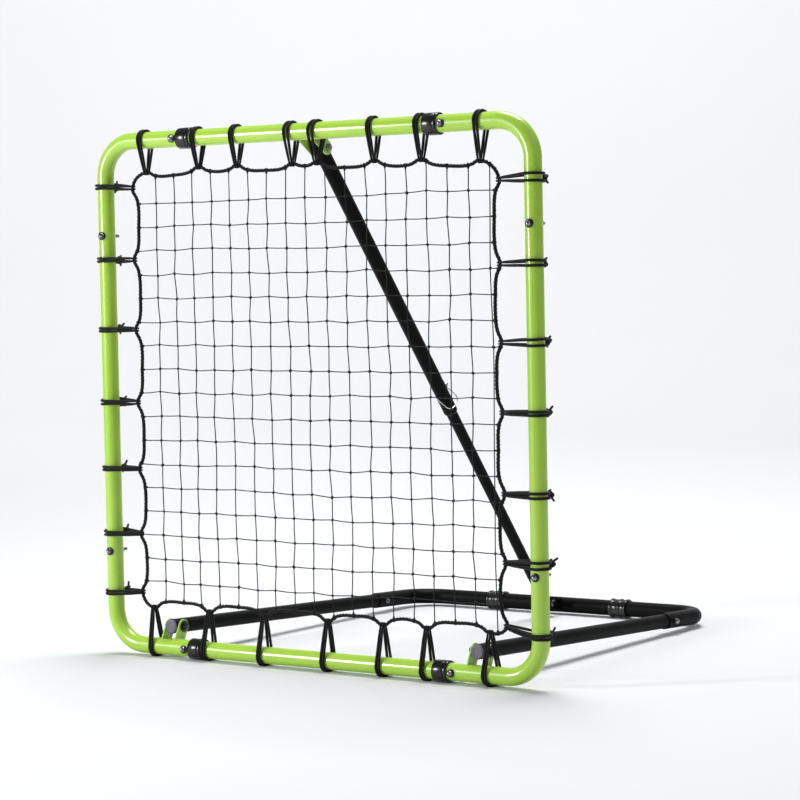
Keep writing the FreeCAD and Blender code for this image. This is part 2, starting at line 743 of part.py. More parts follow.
def base_fasteners():
    """Two bolts through the leg seams: round heads on the outer side, nuts inside."""
    bolt = seam_bolt_pattern("BaseBolt", rear_tube, S.nut_height + S.pivot_tail)
    washer = saddle_washer_pattern("BaseWasher", rear_tube)
    nut = hex_nut("BaseNut", S.nut_flats, S.nut_height, S.seam_bolt / 2 + S.bolt_play)
    spot = ALONG_LEG.multVec(RIGHT) * (plain(leg_length) - V.base_elbow_leg + V.bolt_from_seam)
    leg_way = ALONG_LEG.multVec(RIGHT)
    leg_up = ALONG_LEG.multVec(UP)
    bolts = []
    washers = []
    nuts = []
    for sign in (-1, 1):
        centre = hinge + RIGHT * (sign * leg_side.value) + spot
        inward = RIGHT * -sign
        bolts.append(Placement(centre, facing(inward, leg_up)))
        washers.append(Placement(centre, facing(inward, leg_way)))
        nuts.append(Placement(centre + inward * (plain(rear_tube) / 2 + V.weld_gap), facing(leg_way, inward)))
    copies("base_bolts", bolt, bolts)
    copies("base_washers", washer, washers)
    copies("base_nuts", nut, nuts)


def lock_pin():
    """The pin that locks the strut: X points out of the strut's upper side, Z down the strut."""
    outer = S.outer_tube / 2
    tip = S.inner_tube / 2 + S.pin_stand_off
    seat = outer + S.pin_play
    shank = S.pin_bolt / 2
    head = S.pin_head / 2
    end = S.wire_eye + head
    place = Placement(top_pivot + strut_down * pin_from_top, facing(strut_back, strut_down))
    body = new_body("lock_pin", place)
    turned(body, (
        (tip, 0), (tip, shank), (seat, shank), (seat, S.pin_flange), (seat + S.plug_flange, S.pin_flange),
        (seat + S.plug_flange, head), (end - shank / 2, head), (end, head - shank / 2), (end, 0)))
    pierced(body, "XY_Plane", ((S.wire_eye, 0, S.wire / 2 + S.wire_play),))
    keep(body)


def rounded(points, radii, closed):
    """Straight runs through points joined by arcs of the given radii, as one wire."""
    count = len(points)
    turns = range(count) if closed else range(1, count - 1)
    arcs = {}
    for index in turns:
        corner = points[index]
        back = (points[index - 1] - corner).normalize()
        ahead = (points[(index + 1) % count] - corner).normalize()
        half = back.getAngle(ahead) / 2
        start = corner + back * (radii[index] / math.tan(half))
        end = corner + ahead * (radii[index] / math.tan(half))
        inward = (back + ahead).normalize()
        middle = corner + inward * (radii[index] / math.sin(half) - radii[index])
        arcs[index] = (start, middle, end)
    edges = []
    for index in range(count if closed else count - 1):
        following = (index + 1) % count
        start = arcs[index][2] if index in arcs else points[index]
        end = arcs[following][0] if following in arcs else points[following]
        edges.append(Part.LineSegment(start, end).toShape())
        if following in arcs:
            edges.append(Part.Arc(*arcs[following]).toShape())
    return Part.Wire(edges)


def strand(path, radius):
    """A round solid along a wire, checked against its section times its length."""
    first = path.Edges[0]
    start = first.valueAt(first.FirstParameter)
    heading = first.tangentAt(first.FirstParameter)
    section = Part.Face(Part.Wire([Part.makeCircle(radius, start, heading)]))
    solid = path.makePipe(section)
    expected = math.pi * radius ** 2 * path.Length
    if not solid.isValid() or abs(solid.Volume - expected) > 0.002 * expected:
        raise ValueError("a strand came out wrong")
    return solid


def add_feature(label, shape, placement=None):
    feature = doc.addObject("Part::Feature", label)
    feature.Label = label
    feature.Shape = shape
    if placement is not None:
        feature.Placement = placement
    return keep(feature)


def lock_wire():
    """The wire bail, let down beside the strut: X right, Y out of its upper side, Z up it."""
    hang = math.radians(V.wire_hang)
    out = V.wire_reach * math.cos(hang)
    down = -V.wire_reach * math.sin(hang)
    tip = -(V.outer_tube / 2 + V.wire_stand_off)
    eye = V.wire_eye
    points = [Vector(0, eye, V.pin_flange), Vector(0, eye, -V.pin_head), Vector(out, V.wire_span, down),
              Vector(out, -V.wire_span, down), Vector(0, -V.wire_span, 0), Vector(0, tip, 0)]
    radii = (0, V.wire_hook_bend, V.wire_bend, V.wire_bend, V.wire_hook_bend, 0)
    place = Placement(top_pivot + strut_down * pin_from_top, facing(RIGHT, -strut_down))
    add_feature("lock_wire", strand(rounded(points, radii, False), V.wire / 2), place)


def tie_place(side, value):
    """Distance of a tie from its side's centre, from its value in TIES."""
    free_run = V.straight_half + V.bolt_from_seam - V.washer_radius - 2 * V.tie_strand
    outer_start = V.straight_half + V.bolt_from_seam + V.washer_radius + 2 * V.tie_strand
    if side in ("ties_bottom", "ties_top"):
        free_run = V.straight_half - V.collar_inboard - 1.5 * V.tie_strand
    if side == "ties_bottom":
        ears = V.base_tube / 2 + V.leg_side_gap + V.ear_thickness + V.pivot_nut + V.pivot_tail
        outer_start = leg_side.value + ears + V.tie_strand
    if abs(value) <= 1:
        return value * free_run
    outer_run = panel_half.value - V.panel_bend - outer_start
    return math.copysign(outer_start + (abs(value) - 1) * outer_run, value)


def border_rope():
    """One closed rope that each tie pulls outward and the net draws inward between the ties."""
    points = []
    for turn, side in enumerate(TIES):
        depth = {"ties_bottom": V.rope_bottom, "ties_top": V.rope_top}.get(side, V.rope_side)
        dip = V.rope_bottom_dip if side == "ties_bottom" else V.rope_dip
        frame = side_frame(turn)
        places = [tie_place(side, value) for value in TIES[side]]
        for here, following in zip(places, places[1:] + [None]):
            points.append(frame.multVec(Vector(here, 0, depth)))
            if following is not None:
                points.append(frame.multVec(Vector((here + following) / 2, 0, depth + dip)))
    radii = []
    for index, point in enumerate(points):
        back = points[index - 1] - point
        ahead = points[(index + 1) % len(points)] - point
        half_turn = (math.pi - back.getAngle(ahead)) / 2
        radii.append(ROPE_BEND_SHARE * min(back.Length, ahead.Length) / math.tan(half_turn))
    print("rope: %d arcs, radii %.0f to %.0f mm" % (len(radii), min(radii), max(radii)))
    path = rounded(points, radii, True)
    print("rope length %.0f mm" % path.Length)
    add_feature("border_rope", strand(path, V.rope / 2))
    return path


def rope_depth(path, turn, along):
    """How far inside the tube's centre the rope runs, at a place along a side."""
    frame = side_frame(turn)
    near = frame.multVec(Vector(along, 0, V.panel_tube))
    far = frame.multVec(Vector(along, 0, 4 * V.panel_tube))
    crossing = path.distToShape(Part.makeLine(near, far))[1][0][0]
    return frame.inverse().multVec(crossing).z


def tie_loop(along, depth, wrap):
    """A closed loop round the tube and the rope, in a plane square to the tube."""
    hold = V.panel_tube / 2 + V.tie_play + V.tie_strand / 2
    lean = math.acos((hold - wrap) / depth)
    wide, high = math.sin(lean), math.cos(lean)
    tube_back = Vector(along, hold * wide, hold * high)
    rope_back = Vector(along, wrap * wide, depth + wrap * high)
    tube_front = Vector(along, -tube_back.y, tube_back.z)
    rope_front = Vector(along, -rope_back.y, rope_back.z)
    return Part.Wire([
        Part.LineSegment(tube_back, rope_back).toShape(),
        Part.Arc(rope_back, Vector(along, 0, depth + wrap), rope_front).toShape(),
        Part.LineSegment(rope_front, tube_front).toShape(),
        Part.Arc(tube_front, Vector(along, 0, -hold), tube_back).toShape()])


def ties(path):
    """Each tie is a doubled loop, knotted behind the tube, with two short tails."""
    for turn, side in enumerate(TIES):
        group = []
        for value in TIES[side]:
            along = tie_place(side, value)
            loops = []
            for place in (along - V.tie_spacing / 2, along + V.tie_spacing / 2):
                before, depth, after = [rope_depth(path, turn, place + shift * V.tie_strand / 2)
                                        for shift in (-1, 0, 1)]
                slope = math.atan2(abs(after - depth) + abs(depth - before), V.tie_strand)
                wrap = (V.rope / 2 + V.tie_strand / 2 + V.rope_play) / math.cos(slope)
                loops.append(strand(tie_loop(place, depth, wrap), V.tie_strand / 2))
            knot_back = V.panel_tube / 2 + 2 * V.tie_play + V.knot_radius
            knot_centre = Vector(along, knot_back, 0)
            knot = [Part.makeSphere(V.knot_radius, knot_centre)]
            for heading in TAILS:
                knot.append(Part.makeCylinder(V.tail_radius, V.tail_length, knot_centre, heading))
            group.append(loops[0].fuse([loops[1]] + knot))
        shape = Part.makeCompound(group)
        add_feature(side, shape, side_frame(turn))
        print(side, len(shape.Solids), "ties")


def net(path):
    """A flat net: one sheet with a rim inside the rope, notched at the ties, and a grid of gaps."""
    lay_flat = Placement(Vector(0, panel_plane, panel_middle), Rotation(RIGHT, 90)).inverse()
    flat_path = path.copy()
    flat_path.Placement = lay_flat.multiply(flat_path.Placement)
    inset = V.rope / 2 + V.net_play
    sheet_face = Part.Face(flat_path.makeOffset2D(-inset))
    notch_deep = V.rope / 2 + V.tie_strand + V.rope_play + V.net_play
    notch_wide = V.tie_spacing + V.tie_strand + 2 * V.net_play
    notches = []
    for turn, side in enumerate(TIES):
        flat_side = lay_flat.multiply(side_frame(turn))
        for value in TIES[side]:
            along = tie_place(side, value)
            depths = [rope_depth(path, turn, along + shift * notch_wide / 2) for shift in (-1, 0, 1)]
            box = Part.makeBox(notch_wide, 2, max(depths) + notch_deep,
                               Vector(along - notch_wide / 2, -1, 0))
            box.Placement = flat_side
            notches.append(box)
    sheet_face = sheet_face.cut(notches)
    sheet_face = max(sheet_face.Faces, key=lambda face: face.Area)
    field = Part.Face(sheet_face.OuterWire.makeOffset2D(-V.net_rim))
    box = sheet_face.BoundBox
    pitch_x = box.XLength / NET_CELLS
    pitch_y = box.YLength / NET_CELLS
    edge = max(V.rope_dip, V.rope_bottom_dip) + notch_deep + V.net_rim
    gaps = []
    cut_by_edge = []
    for column in range(NET_CELLS):
        for line in range(NET_CELLS):
            low = Vector(box.XMin + column * pitch_x + V.net_string / 2,
                         box.YMin + line * pitch_y + V.net_string / 2, 0)
            cell = Part.makePlane(pitch_x - V.net_string, pitch_y - V.net_string, low)
            reach = cell.BoundBox
            inner = (reach.XMin > box.XMin + edge and reach.XMax < box.XMax - edge
                     and reach.YMin > box.YMin + edge and reach.YMax < box.YMax - edge)
            (gaps if inner else cut_by_edge).append(cell)
    trimmed = Part.makeCompound(cut_by_edge).common(field)
    gaps.extend(face for face in trimmed.Faces if face.Area > V.net_string ** 2)
    holed = Part.Face([sheet_face.OuterWire] + [face.OuterWire.reversed() for face in gaps])
    open_area = sum(face.Area for face in gaps)
    if abs(holed.Area + open_area - Part.Face(sheet_face.OuterWire).Area) > 1:
        raise ValueError("the net's gaps are the wrong way round")
    solid = holed.extrude(Vector(0, 0, V.net_string))
    solid.translate(Vector(0, 0, -V.net_string / 2))
    print("net gaps", len(gaps), "solids", len(solid.Solids))
    add_feature("net", solid.Solids[0], lay_flat.inverse())


def export():
    """Stops on any failed object or shape, then writes one STEP file for each piece."""
    doc.recompute()
    for item in doc.Objects:
        if "Invalid" in item.State or "Error" in item.State:
            raise ValueError(item.Label + " failed: " + ", ".join(item.State))
    for node in made:
        if node.Shape.isNull() or not node.Shape.isValid() or not node.Shape.Solids:
            raise ValueError(node.Label + " has no valid solid")
    os.makedirs("parts", exist_ok=True)
    for node in made:
        node.Shape.exportStep("parts/%s.step" % node.Label)
    box = Part.makeCompound([node.Shape for node in made]).BoundBox
    print("%d pieces, %.1f x %.1f x %.1f mm" % (len(made), box.XLength, box.YLength, box.ZLength))


panel_frame()
collars()
panel_fasteners()
front_hinges()
top_bracket()
legs()
rear_frame()
base_fasteners()
strut_foot()
strut()
lock_pin()
lock_wire()
rope_path = border_rope()
ties(rope_path)
net(rope_path)
export()
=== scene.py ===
import json
import math
import random

import bmesh
import bpy
from bpy.props import FloatProperty, FloatVectorProperty, PointerProperty
from mathutils import Matrix, Vector, noise


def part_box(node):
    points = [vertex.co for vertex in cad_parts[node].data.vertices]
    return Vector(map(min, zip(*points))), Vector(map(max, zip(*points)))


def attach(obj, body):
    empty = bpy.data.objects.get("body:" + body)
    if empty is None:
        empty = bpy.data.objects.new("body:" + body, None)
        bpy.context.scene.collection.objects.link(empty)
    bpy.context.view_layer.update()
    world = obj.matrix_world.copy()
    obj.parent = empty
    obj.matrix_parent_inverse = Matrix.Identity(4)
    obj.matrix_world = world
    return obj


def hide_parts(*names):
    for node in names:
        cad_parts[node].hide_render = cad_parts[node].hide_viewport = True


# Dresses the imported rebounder: net, border rope, elastic ties, fittings, paint, floor, light and camera.
# Metres, +Z up, seen from the front with X to the right and Y to the back, as in the frame.

bl_info = {
    "name": "Rebounder Dressing",
    "version": (1, 0, 0),
    "blender": (4, 5, 0),
    "location": "3D View > Sidebar > Rebounder",
    "description": "Net, rope, ties, fittings and paint for a rebounder on its packed frame",
    "category": "Object",
}

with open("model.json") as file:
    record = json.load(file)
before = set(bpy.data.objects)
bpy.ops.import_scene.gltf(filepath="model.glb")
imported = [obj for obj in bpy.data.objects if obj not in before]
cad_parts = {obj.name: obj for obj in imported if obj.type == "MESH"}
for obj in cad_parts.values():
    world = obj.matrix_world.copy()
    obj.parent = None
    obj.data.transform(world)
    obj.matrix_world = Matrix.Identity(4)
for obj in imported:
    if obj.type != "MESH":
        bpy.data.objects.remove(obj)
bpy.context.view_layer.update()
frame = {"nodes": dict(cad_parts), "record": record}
NODES = frame["nodes"]
MM = 0.001


def middle_of(node):
    low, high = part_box(node)
    return (low + high) / 2


# Places that the frame gives
POST_OUT = middle_of("right_post").x
PANEL_PLANE = middle_of("right_post").y
BAR_LOW = middle_of("bottom_bar").z
BAR_HIGH = middle_of("top_bar").z
PANEL_MIDDLE = Vector((0, PANEL_PLANE, (BAR_LOW + BAR_HIGH) / 2))
TUBE = (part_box("right_post")[1].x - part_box("right_post")[0].x) / 2
REAR_BAR = middle_of("rear_bar")
REAR_TUBE = (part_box("rear_bar")[1].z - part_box("rear_bar")[0].z) / 2
LEG_OUT = middle_of("right_leg").x
LEG_TUBE = (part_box("right_leg")[1].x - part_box("right_leg")[0].x) / 2

# Sides of the panel, anticlockwise from the bottom as seen from the front
SIDES = ("bottom", "right", "top", "left")
# Where the bolts of the seams lie along each side, from its middle
BOLT = 304.8 * MM

# Ties along each side, in millimetres from the middle of the side, anticlockwise: where the tie holds
# the tube, where it holds the rope, how far inside the tube's centre the rope is there, and how far
# apart the tie's two turns are on the front of the tube
TIES = {
    "bottom": ((-384, -388, 73, 6.0), (-256, -252, 72, 6.4), (-123, -121, 72, 5.8), (24, 26, 72, 6.2),
               (148, 150, 73, 6.0), (244, 246, 73, 5.6), (376, 380, 74, 6.0)),
    "right": ((-409, -396, 69, 5.9), (-285, -284, 69, 10.7), (-164, -164, 69, 8.1), (-22, -22, 70, 6.2),
              (100, 100, 70, 10.2), (237, 236, 70, 9.3), (384, 382, 69, 12.5)),
    "top": ((-379, -377, 67, 7.0), (-253, -253, 60, 6.0), (-151, -151, 58, 6.4), (-22, -23, 57, 9.5),
            (33, 33, 57, 9.5), (161, 161, 55, 6.0), (254, 253, 54, 6.0), (383, 381, 60, 7.0)),
    "left": ((-399, -395, 67, 5.4), (-259, -258, 67, 5.4), (-124, -124, 67, 5.6), (16, 16, 67, 5.3),
             (144, 144, 67, 5.6), (270, 269, 67, 5.4), (385, 382, 67, 5.8)),
}
# Ties that pass an ear or a bolt head behind their tube, and how far aside they lie there, in millimetres
ASIDE = {("bottom", 376): 9, ("top", -22): -7}
# Knots of the ties, behind the tube's surface
KNOT_BACK = 16 * MM
# How much further inside the rope runs between two ties
ROPE_SAG = {"bottom": 13 * MM, "right": 10 * MM, "top": 10 * MM, "left": 12 * MM}
# Longest slope of the rope beside a tie, how far the net's strings draw it in, and the gap between two
# ties from which it has its full sag
SHOULDER = 21 * MM
PULL = 1.2 * MM
FULL_SAG_GAP = 95 * MM
# First string of the net from the left and from the floor, and how many there are
FIRST_UPRIGHT = -359 * MM
FIRST_CROSSING = 144 * MM
UPRIGHTS = 18
CROSSINGS = 17

# The camera, as fitted to the photo's panel and base: its place, and its turn, pitch and roll in degrees
CAMERA_PLACE = Vector((2.8038, -4.1704, 0.7402))
CAMERA_TURN, CAMERA_PITCH, CAMERA_ROLL = 34.84, 3.0, -1.14

# The record's slot of every node
SLOTS = {part["node"]: part["material_slot"] for part in frame["record"]["subparts"]}


class NetSizes(bpy.types.PropertyGroup):
    string: FloatProperty(
        name="String", description="Diameter of the net's strings", default=2.1 * MM, unit="LENGTH")
    width: FloatProperty(
        name="Mesh width", description="Spacing of the upright strings", default=44.4 * MM, unit="LENGTH")
    height: FloatProperty(
        name="Mesh height", description="Spacing of the crossing strings", default=45.25 * MM,
        unit="LENGTH")
    knot: FloatProperty(
        name="Knot", description="Diameter of a knot where two strings cross", default=6.0 * MM,
        unit="LENGTH")
    wander: FloatProperty(
        name="Wander", description="How far a knot strays from its even place", default=2.4 * MM,
        unit="LENGTH")


class RopeSizes(bpy.types.PropertyGroup):
    diameter: FloatProperty(
        name="Diameter", description="Diameter of the border rope", default=7 * MM, unit="LENGTH")
    lay: FloatProperty(
        name="Lay", description="Length in which a strand goes once round the rope", default=21 * MM,
        unit="LENGTH")


class TieSizes(bpy.types.PropertyGroup):
    cord: FloatProperty(
        name="Cord", description="Diameter of the elastic cord", default=5.2 * MM, unit="LENGTH")
    knot: FloatProperty(
        name="Knot", description="Diameter of the knot behind the tube", default=18 * MM, unit="LENGTH")
    tail: FloatProperty(
        name="Tail", description="Length of the cut ends behind the knot", default=15 * MM, unit="LENGTH")


class PaintColours(bpy.types.PropertyGroup):
    green: FloatVectorProperty(
        name="Green", description="Gloss paint of the panel frame", subtype="COLOR",
        default=(0.413, 0.655, 0.068))
    green_shade: FloatVectorProperty(
        name="Green, deep", description="Deeper tone in the gloss paint", subtype="COLOR",
        default=(0.350, 0.600, 0.048))
    black: FloatVectorProperty(
        name="Black", description="Satin paint of the base and the strut", subtype="COLOR",
        default=(0.0022, 0.0022, 0.0021))
    plug: FloatVectorProperty(
        name="Plug", description="Plastic of the tube plugs", subtype="COLOR",
        default=(0.145, 0.132, 0.172))


class StageSizes(bpy.types.PropertyGroup):
    floor: FloatProperty(
        name="Floor", description="Width of the studio floor", default=26.0, unit="LENGTH")
    lens: FloatProperty(
        name="Lens", description="Focal length of the camera in millimetres", default=115.2)


class Rebounder(bpy.types.PropertyGroup):
    net: PointerProperty(type=NetSizes)
    rope: PointerProperty(type=RopeSizes)
    ties: PointerProperty(type=TieSizes)
    paint: PointerProperty(type=PaintColours)
    stage: PointerProperty(type=StageSizes)


class Value:
    """A shader socket that takes part in ordinary arithmetic."""

    def __init__(self, tree, socket):
        self.tree = tree
        self.socket = socket

    def join(self, operation, first, second=0.0):
        node = self.tree.nodes.new("ShaderNodeMath")
        node.operation = operation
        feed(self.tree, node.inputs[0], first)
        feed(self.tree, node.inputs[1], second)
        return Value(self.tree, node.outputs[0])

    def __add__(self, other):
        return self.join("ADD", self, other)

    def __radd__(self, other):
        return self.join("ADD", other, self)

    def __sub__(self, other):
        return self.join("SUBTRACT", self, other)

    def __mul__(self, other):
        return self.join("MULTIPLY", self, other)

    def __rmul__(self, other):
        return self.join("MULTIPLY", other, self)

    def sine(self):
        return self.join("SINE", self)

    def highest(self, other):
        return self.join("MAXIMUM", self, other)


def feed(tree, socket, value):
    """Links a value to a socket, or sets the socket to a plain number or colour."""
    if isinstance(value, Value):
        tree.links.new(value.socket, socket)
    else:
        socket.default_value = value


class Finish:
    """A material around one surface shader, with the nodes that feed it."""

    def __init__(self, name):
        self.material = bpy.data.materials.new(name)
        self.material.use_nodes = True
        self.tree = self.material.node_tree
        self.tree.nodes.clear()
        self.surface = self.tree.nodes.new("ShaderNodeBsdfPrincipled")
        output = self.tree.nodes.new("ShaderNodeOutputMaterial")
        self.tree.links.new(self.surface.outputs[0], output.inputs["Surface"])

    def add(self, kind, settings, sockets, output=0):
        """Adds a node of any kind, sets it up, then feeds its sockets."""
        node = self.tree.nodes.new(kind)
        for key, value in settings.items():
            setattr(node, key, value)
        for key, value in sockets.items():
            feed(self.tree, node.inputs[key], value)
        return Value(self.tree, node.outputs[output])

    def place(self, stretch=(1, 1, 1)):
        """Where a point lies on the object."""
        spot = self.add("ShaderNodeTexCoord", {}, {}, "Object")
        return self.add("ShaderNodeMapping", {}, {"Vector": spot, "Scale": stretch})

    def length_and_girth(self):
        """Where a point lies on a cord: metres along it, and its share of the way round."""
        spot = self.add("ShaderNodeTexCoord", {}, {}, "UV")
        return [self.add("ShaderNodeSeparateXYZ", {}, {"Vector": spot}, output) for output in (0, 1)]

    def cloud(self, place, scale, detail=2.0):
        return self.add("ShaderNodeTexNoise", {}, {"Vector": place, "Scale": scale, "Detail": detail}, 0)

    def band(self, value, low, high):
        """0 below `low`, 1 above `high`."""
        return self.add(
            "ShaderNodeMapRange", {"interpolation_type": "SMOOTHSTEP"},
            {"Value": value, "From Min": low, "From Max": high})

    def mix(self, share, first, second):
        return self.add("ShaderNodeMix", {"data_type": "RGBA"}, {0: share, 6: first, 7: second}, 2)

    def relief(self, height, distance, strength=1.0):
        """Raises the surface by a height from 0 to 1, over a distance in metres."""
        normal = self.add(
            "ShaderNodeBump", {}, {"Height": height, "Distance": distance, "Strength": strength})
        feed(self.tree, self.surface.inputs["Normal"], normal)

    def set(self, **inputs):
        """Feeds the surface's own sockets; an underscore stands for a space."""
        for key, value in inputs.items():
            feed(self.tree, self.surface.inputs[key.replace("_", " ")], value)


def solid(colour):
    return (*colour, 1.0)


def green_paint(paint):
    """Gloss powder coat: faint orange peel, soft changes of tone and a few hairline scuffs."""
    finish = Finish("green_paint")
    place = finish.place()
    tone = finish.cloud(place, 5.0, 3.0)
    peel = finish.cloud(place, 420.0, 1.0)
    speck = finish.cloud(place, 1800.0, 2.0)
    scuffs = finish.cloud(finish.place(stretch=(3, 3, 90)), 14.0, 4.0)
    scuff = finish.band(scuffs, 0.66, 0.72)
    colour = finish.mix(tone, solid(paint.green_shade), solid(paint.green))
    dark_speck = solid([c * 0.6 for c in paint.green])
    colour = finish.mix(finish.band(speck, 0.62, 0.8) * 0.10, colour, dark_speck)
    colour = finish.mix(scuff * 0.10, colour, (0.55, 0.80, 0.25, 1.0))
    finish.set(Base_Color=colour, Roughness=0.23 + 0.08 * tone + 0.16 * scuff + 0.05 * speck)
    finish.set(Coat_Weight=0.45, Coat_Roughness=0.08, Specular_IOR_Level=0.45)
    finish.relief(peel, 0.00006, 0.6)
    return finish.material


def black_paint(paint):
    """Satin powder coat: fine grain, slight haze and rubbed streaks along the tubes."""
    finish = Finish("black_paint")
    place = finish.place()
    grain = finish.cloud(place, 2600.0, 2.0)
    haze = finish.cloud(place, 7.0, 4.0)
    streaks = finish.cloud(finish.place(stretch=(60, 4, 60)), 9.0, 3.0)
    rub = finish.band(streaks, 0.60, 0.75)
    colour = finish.mix(haze, solid(paint.black), solid([c * 1.9 for c in paint.black]))
    colour = finish.mix(rub * 0.25, colour, (0.010, 0.010, 0.010, 1.0))
    finish.set(Base_Color=colour, Roughness=0.36 + 0.12 * haze + 0.10 * grain)
    finish.set(Specular_IOR_Level=0.07)
    finish.relief(grain, 0.00005, 0.5)
    return finish.material


def black_plastic(paint):
    """Moulded black plastic with a fine texture and faint flow marks."""
    finish = Finish("black_plastic")
    place = finish.place()
    grain = finish.cloud(place, 3200.0, 1.0)
    flow = finish.cloud(finish.place(stretch=(20, 60, 60)), 4.0, 3.0)
    colour = finish.mix(flow, (0.004, 0.004, 0.0045, 1.0), (0.008, 0.0075, 0.009, 1.0))
    finish.set(Base_Color=colour, Roughness=0.17 + 0.07 * flow + 0.04 * grain)
    finish.set(Specular_IOR_Level=0.5)
    finish.relief(grain, 0.00004, 0.5)
    return finish.material


def grey_plug(paint):
    """Matt grey plastic with a mottled tone."""
    finish = Finish("grey_plug")
    place = finish.place()
    tone = finish.cloud(place, 60.0, 4.0)
    grain = finish.cloud(place, 2400.0, 1.0)
    colour = finish.mix(tone, solid([c * 0.75 for c in paint.plug]), solid(paint.plug))
    finish.set(Base_Color=colour, Roughness=0.42 + 0.14 * tone)
    finish.relief(grain, 0.00005, 0.5)
    return finish.material


def dark_steel(paint):
    """Polished dark plating, a little clouded."""
    finish = Finish("dark_steel")
    place = finish.place()
    cloudy = finish.cloud(place, 300.0, 3.0)
    colour = finish.mix(cloudy, (0.20, 0.20, 0.21, 1.0), (0.38, 0.38, 0.40, 1.0))
    finish.set(Base_Color=colour, Metallic=1.0, Roughness=0.14 + 0.16 * cloudy)
    finish.relief(finish.cloud(place, 1500.0), 0.00002, 0.5)
    return finish.material


def bright_steel(paint):
    """Bright plating with fine drawing marks."""
    finish = Finish("bright_steel")
    drawn = finish.cloud(finish.place(stretch=(400, 400, 40)), 12.0, 2.0)
    cloudy = finish.cloud(finish.place(), 120.0, 3.0)
    colour = finish.mix(cloudy, (0.52, 0.53, 0.55, 1.0), (0.76, 0.77, 0.79, 1.0))
    finish.set(Base_Color=colour, Metallic=1.0, Roughness=0.16 + 0.16 * drawn)
    finish.relief(drawn, 0.00002, 0.4)
    return finish.material


def twine(name, ply_length, plies, dark, light, rough, height):
    """Twisted yarn: its plies wind round the piece's own length, which the map gives in metres."""
    finish = Finish(name)
    along, girth = finish.length_and_girth()
    turn = (along * (1 / ply_length) + girth * plies) * math.tau
    ply = 0.5 + 0.5 * turn.sine()
    place = finish.place()
    fibre = finish.cloud(place, 1700.0, 3.0)
    tone = finish.cloud(place, 25.0, 3.0)
    # Painted shade: the colour follows the plies' height, darker in the grooves between the plies and
    # lighter on their crests; the fibre noise adds real grain.
    colour = finish.mix(ply * 0.6 + fibre * 0.4, dark, light)
    colour = finish.mix(tone * 0.35, colour, [c * 0.5 for c in dark[:3]] + [1.0])
    finish.set(Base_Color=colour, Roughness=rough + 0.16 * fibre)
    finish.set(Sheen_Weight=0.03, Sheen_Roughness=0.5, Specular_IOR_Level=0.12)
    finish.relief(ply * 0.8 + fibre * 0.2, height, 0.8)
    return finish.material


def net_cord(paint):
    dark, light = (0.006, 0.006, 0.007, 1), (0.020, 0.020, 0.021, 1)
    return twine("net_cord", 5 * MM, 2, dark, light, 0.45, 0.0002)


def border_cord(paint):
    dark, light = (0.005, 0.005, 0.006, 1), (0.017, 0.017, 0.018, 1)
    return twine("border_cord", 9 * MM, 4, dark, light, 0.48, 0.0002)


def elastic_cord(paint):
    """Braided sheath: two sets of yarns that cross round the cord."""
    finish = Finish("elastic_cord")
    along, girth = finish.length_and_girth()
    turn_length = 12 * MM
    yarns = 8
    one_way = ((along * (1 / turn_length) + girth) * (yarns * math.tau)).sine()
    other_way = ((along * (1 / turn_length) - girth) * (yarns * math.tau)).sine()
    yarn = 0.5 + 0.5 * one_way.highest(other_way)
    place = finish.place()
    fibre = finish.cloud(place, 2100.0, 2.0)
    tone = finish.cloud(place, 40.0, 3.0)
    # Painted shade: the colour follows the yarns' height, darker in the hollows between the crossing yarns
    # and lighter on their tops; the fibre noise adds real grain.
    colour = finish.mix(yarn * 0.5 + fibre * 0.5, (0.005, 0.005, 0.005, 1), (0.017, 0.017, 0.018, 1))
    colour = finish.mix(tone * 0.3, colour, (0.003, 0.003, 0.003, 1))
    finish.set(Base_Color=colour, Roughness=0.50 + 0.15 * fibre)
    finish.set(Sheen_Weight=0.03, Sheen_Roughness=0.5, Specular_IOR_Level=0.12)
    finish.relief(yarn * 0.8 + fibre * 0.2, 0.00025, 0.7)
    return finish.material


FINISHES = {
    "green_paint": green_paint,
    "black_paint": black_paint,
    "black_plastic": black_plastic,
    "grey_plug": grey_plug,
    "dark_steel": dark_steel,
    "bright_steel": bright_steel,
    "net_cord": net_cord,
    "border_cord": border_cord,
    "elastic_cord": elastic_cord,
}


def finish_of(slot):
    """The material for a slot, made when it is first asked for."""
    found = bpy.data.materials.get("dress_" + slot)
    if found is None:
        found = FINISHES[slot](bpy.context.scene.rebounder.paint)
        found.name = "dress_" + slot
    return found


def add_piece(name, mesh, body, slot, replaced=()):
    """Puts a finished mesh in the scene, on its body and with its slot's finish."""
    piece = bpy.data.objects.new(name, mesh)
    bpy.context.scene.collection.objects.link(piece)
    mesh.materials.clear()
    mesh.materials.append(finish_of(slot))
    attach(piece, body)
    if replaced:
        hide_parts(*replaced)
    return piece


def mesh_from(shape, name, crease=35):
    """Turns a bmesh into a smooth mesh whose edges over `crease` degrees stay crisp."""
    mesh = bpy.data.meshes.new(name)
    shape.to_mesh(mesh)
    shape.free()
    mesh.shade_smooth()
    mesh.set_sharp_from_angle(angle=math.radians(crease))
    return mesh


def curve_mesh(curve):
    """The mesh that a curve makes, after which the curve is gone."""
    holder = bpy.data.objects.new(curve.name, curve)
    bpy.context.scene.collection.objects.link(holder)
    graph = bpy.context.evaluated_depsgraph_get()
    mesh = bpy.data.meshes.new_from_object(holder.evaluated_get(graph))
    bpy.data.objects.remove(holder)
    bpy.data.curves.remove(curve)
    return mesh


def smooth_line(points, closed, steps):
    """Points of a smooth line that passes through the given ones."""
    curve = bpy.data.curves.new("line", "CURVE")
    curve.dimensions = "3D"
    curve.resolution_u = steps
    spline = curve.splines.new("BEZIER")
    spline.bezier_points.add(len(points) - 1)
    for knot, point in zip(spline.bezier_points, points):
        knot.co = point
        knot.handle_left_type = "AUTO"
        knot.handle_right_type = "AUTO"
    spline.use_cyclic_u = closed
    mesh = curve_mesh(curve)
    line = [vertex.co.copy() for vertex in mesh.vertices]
    bpy.data.meshes.remove(mesh)
    return line


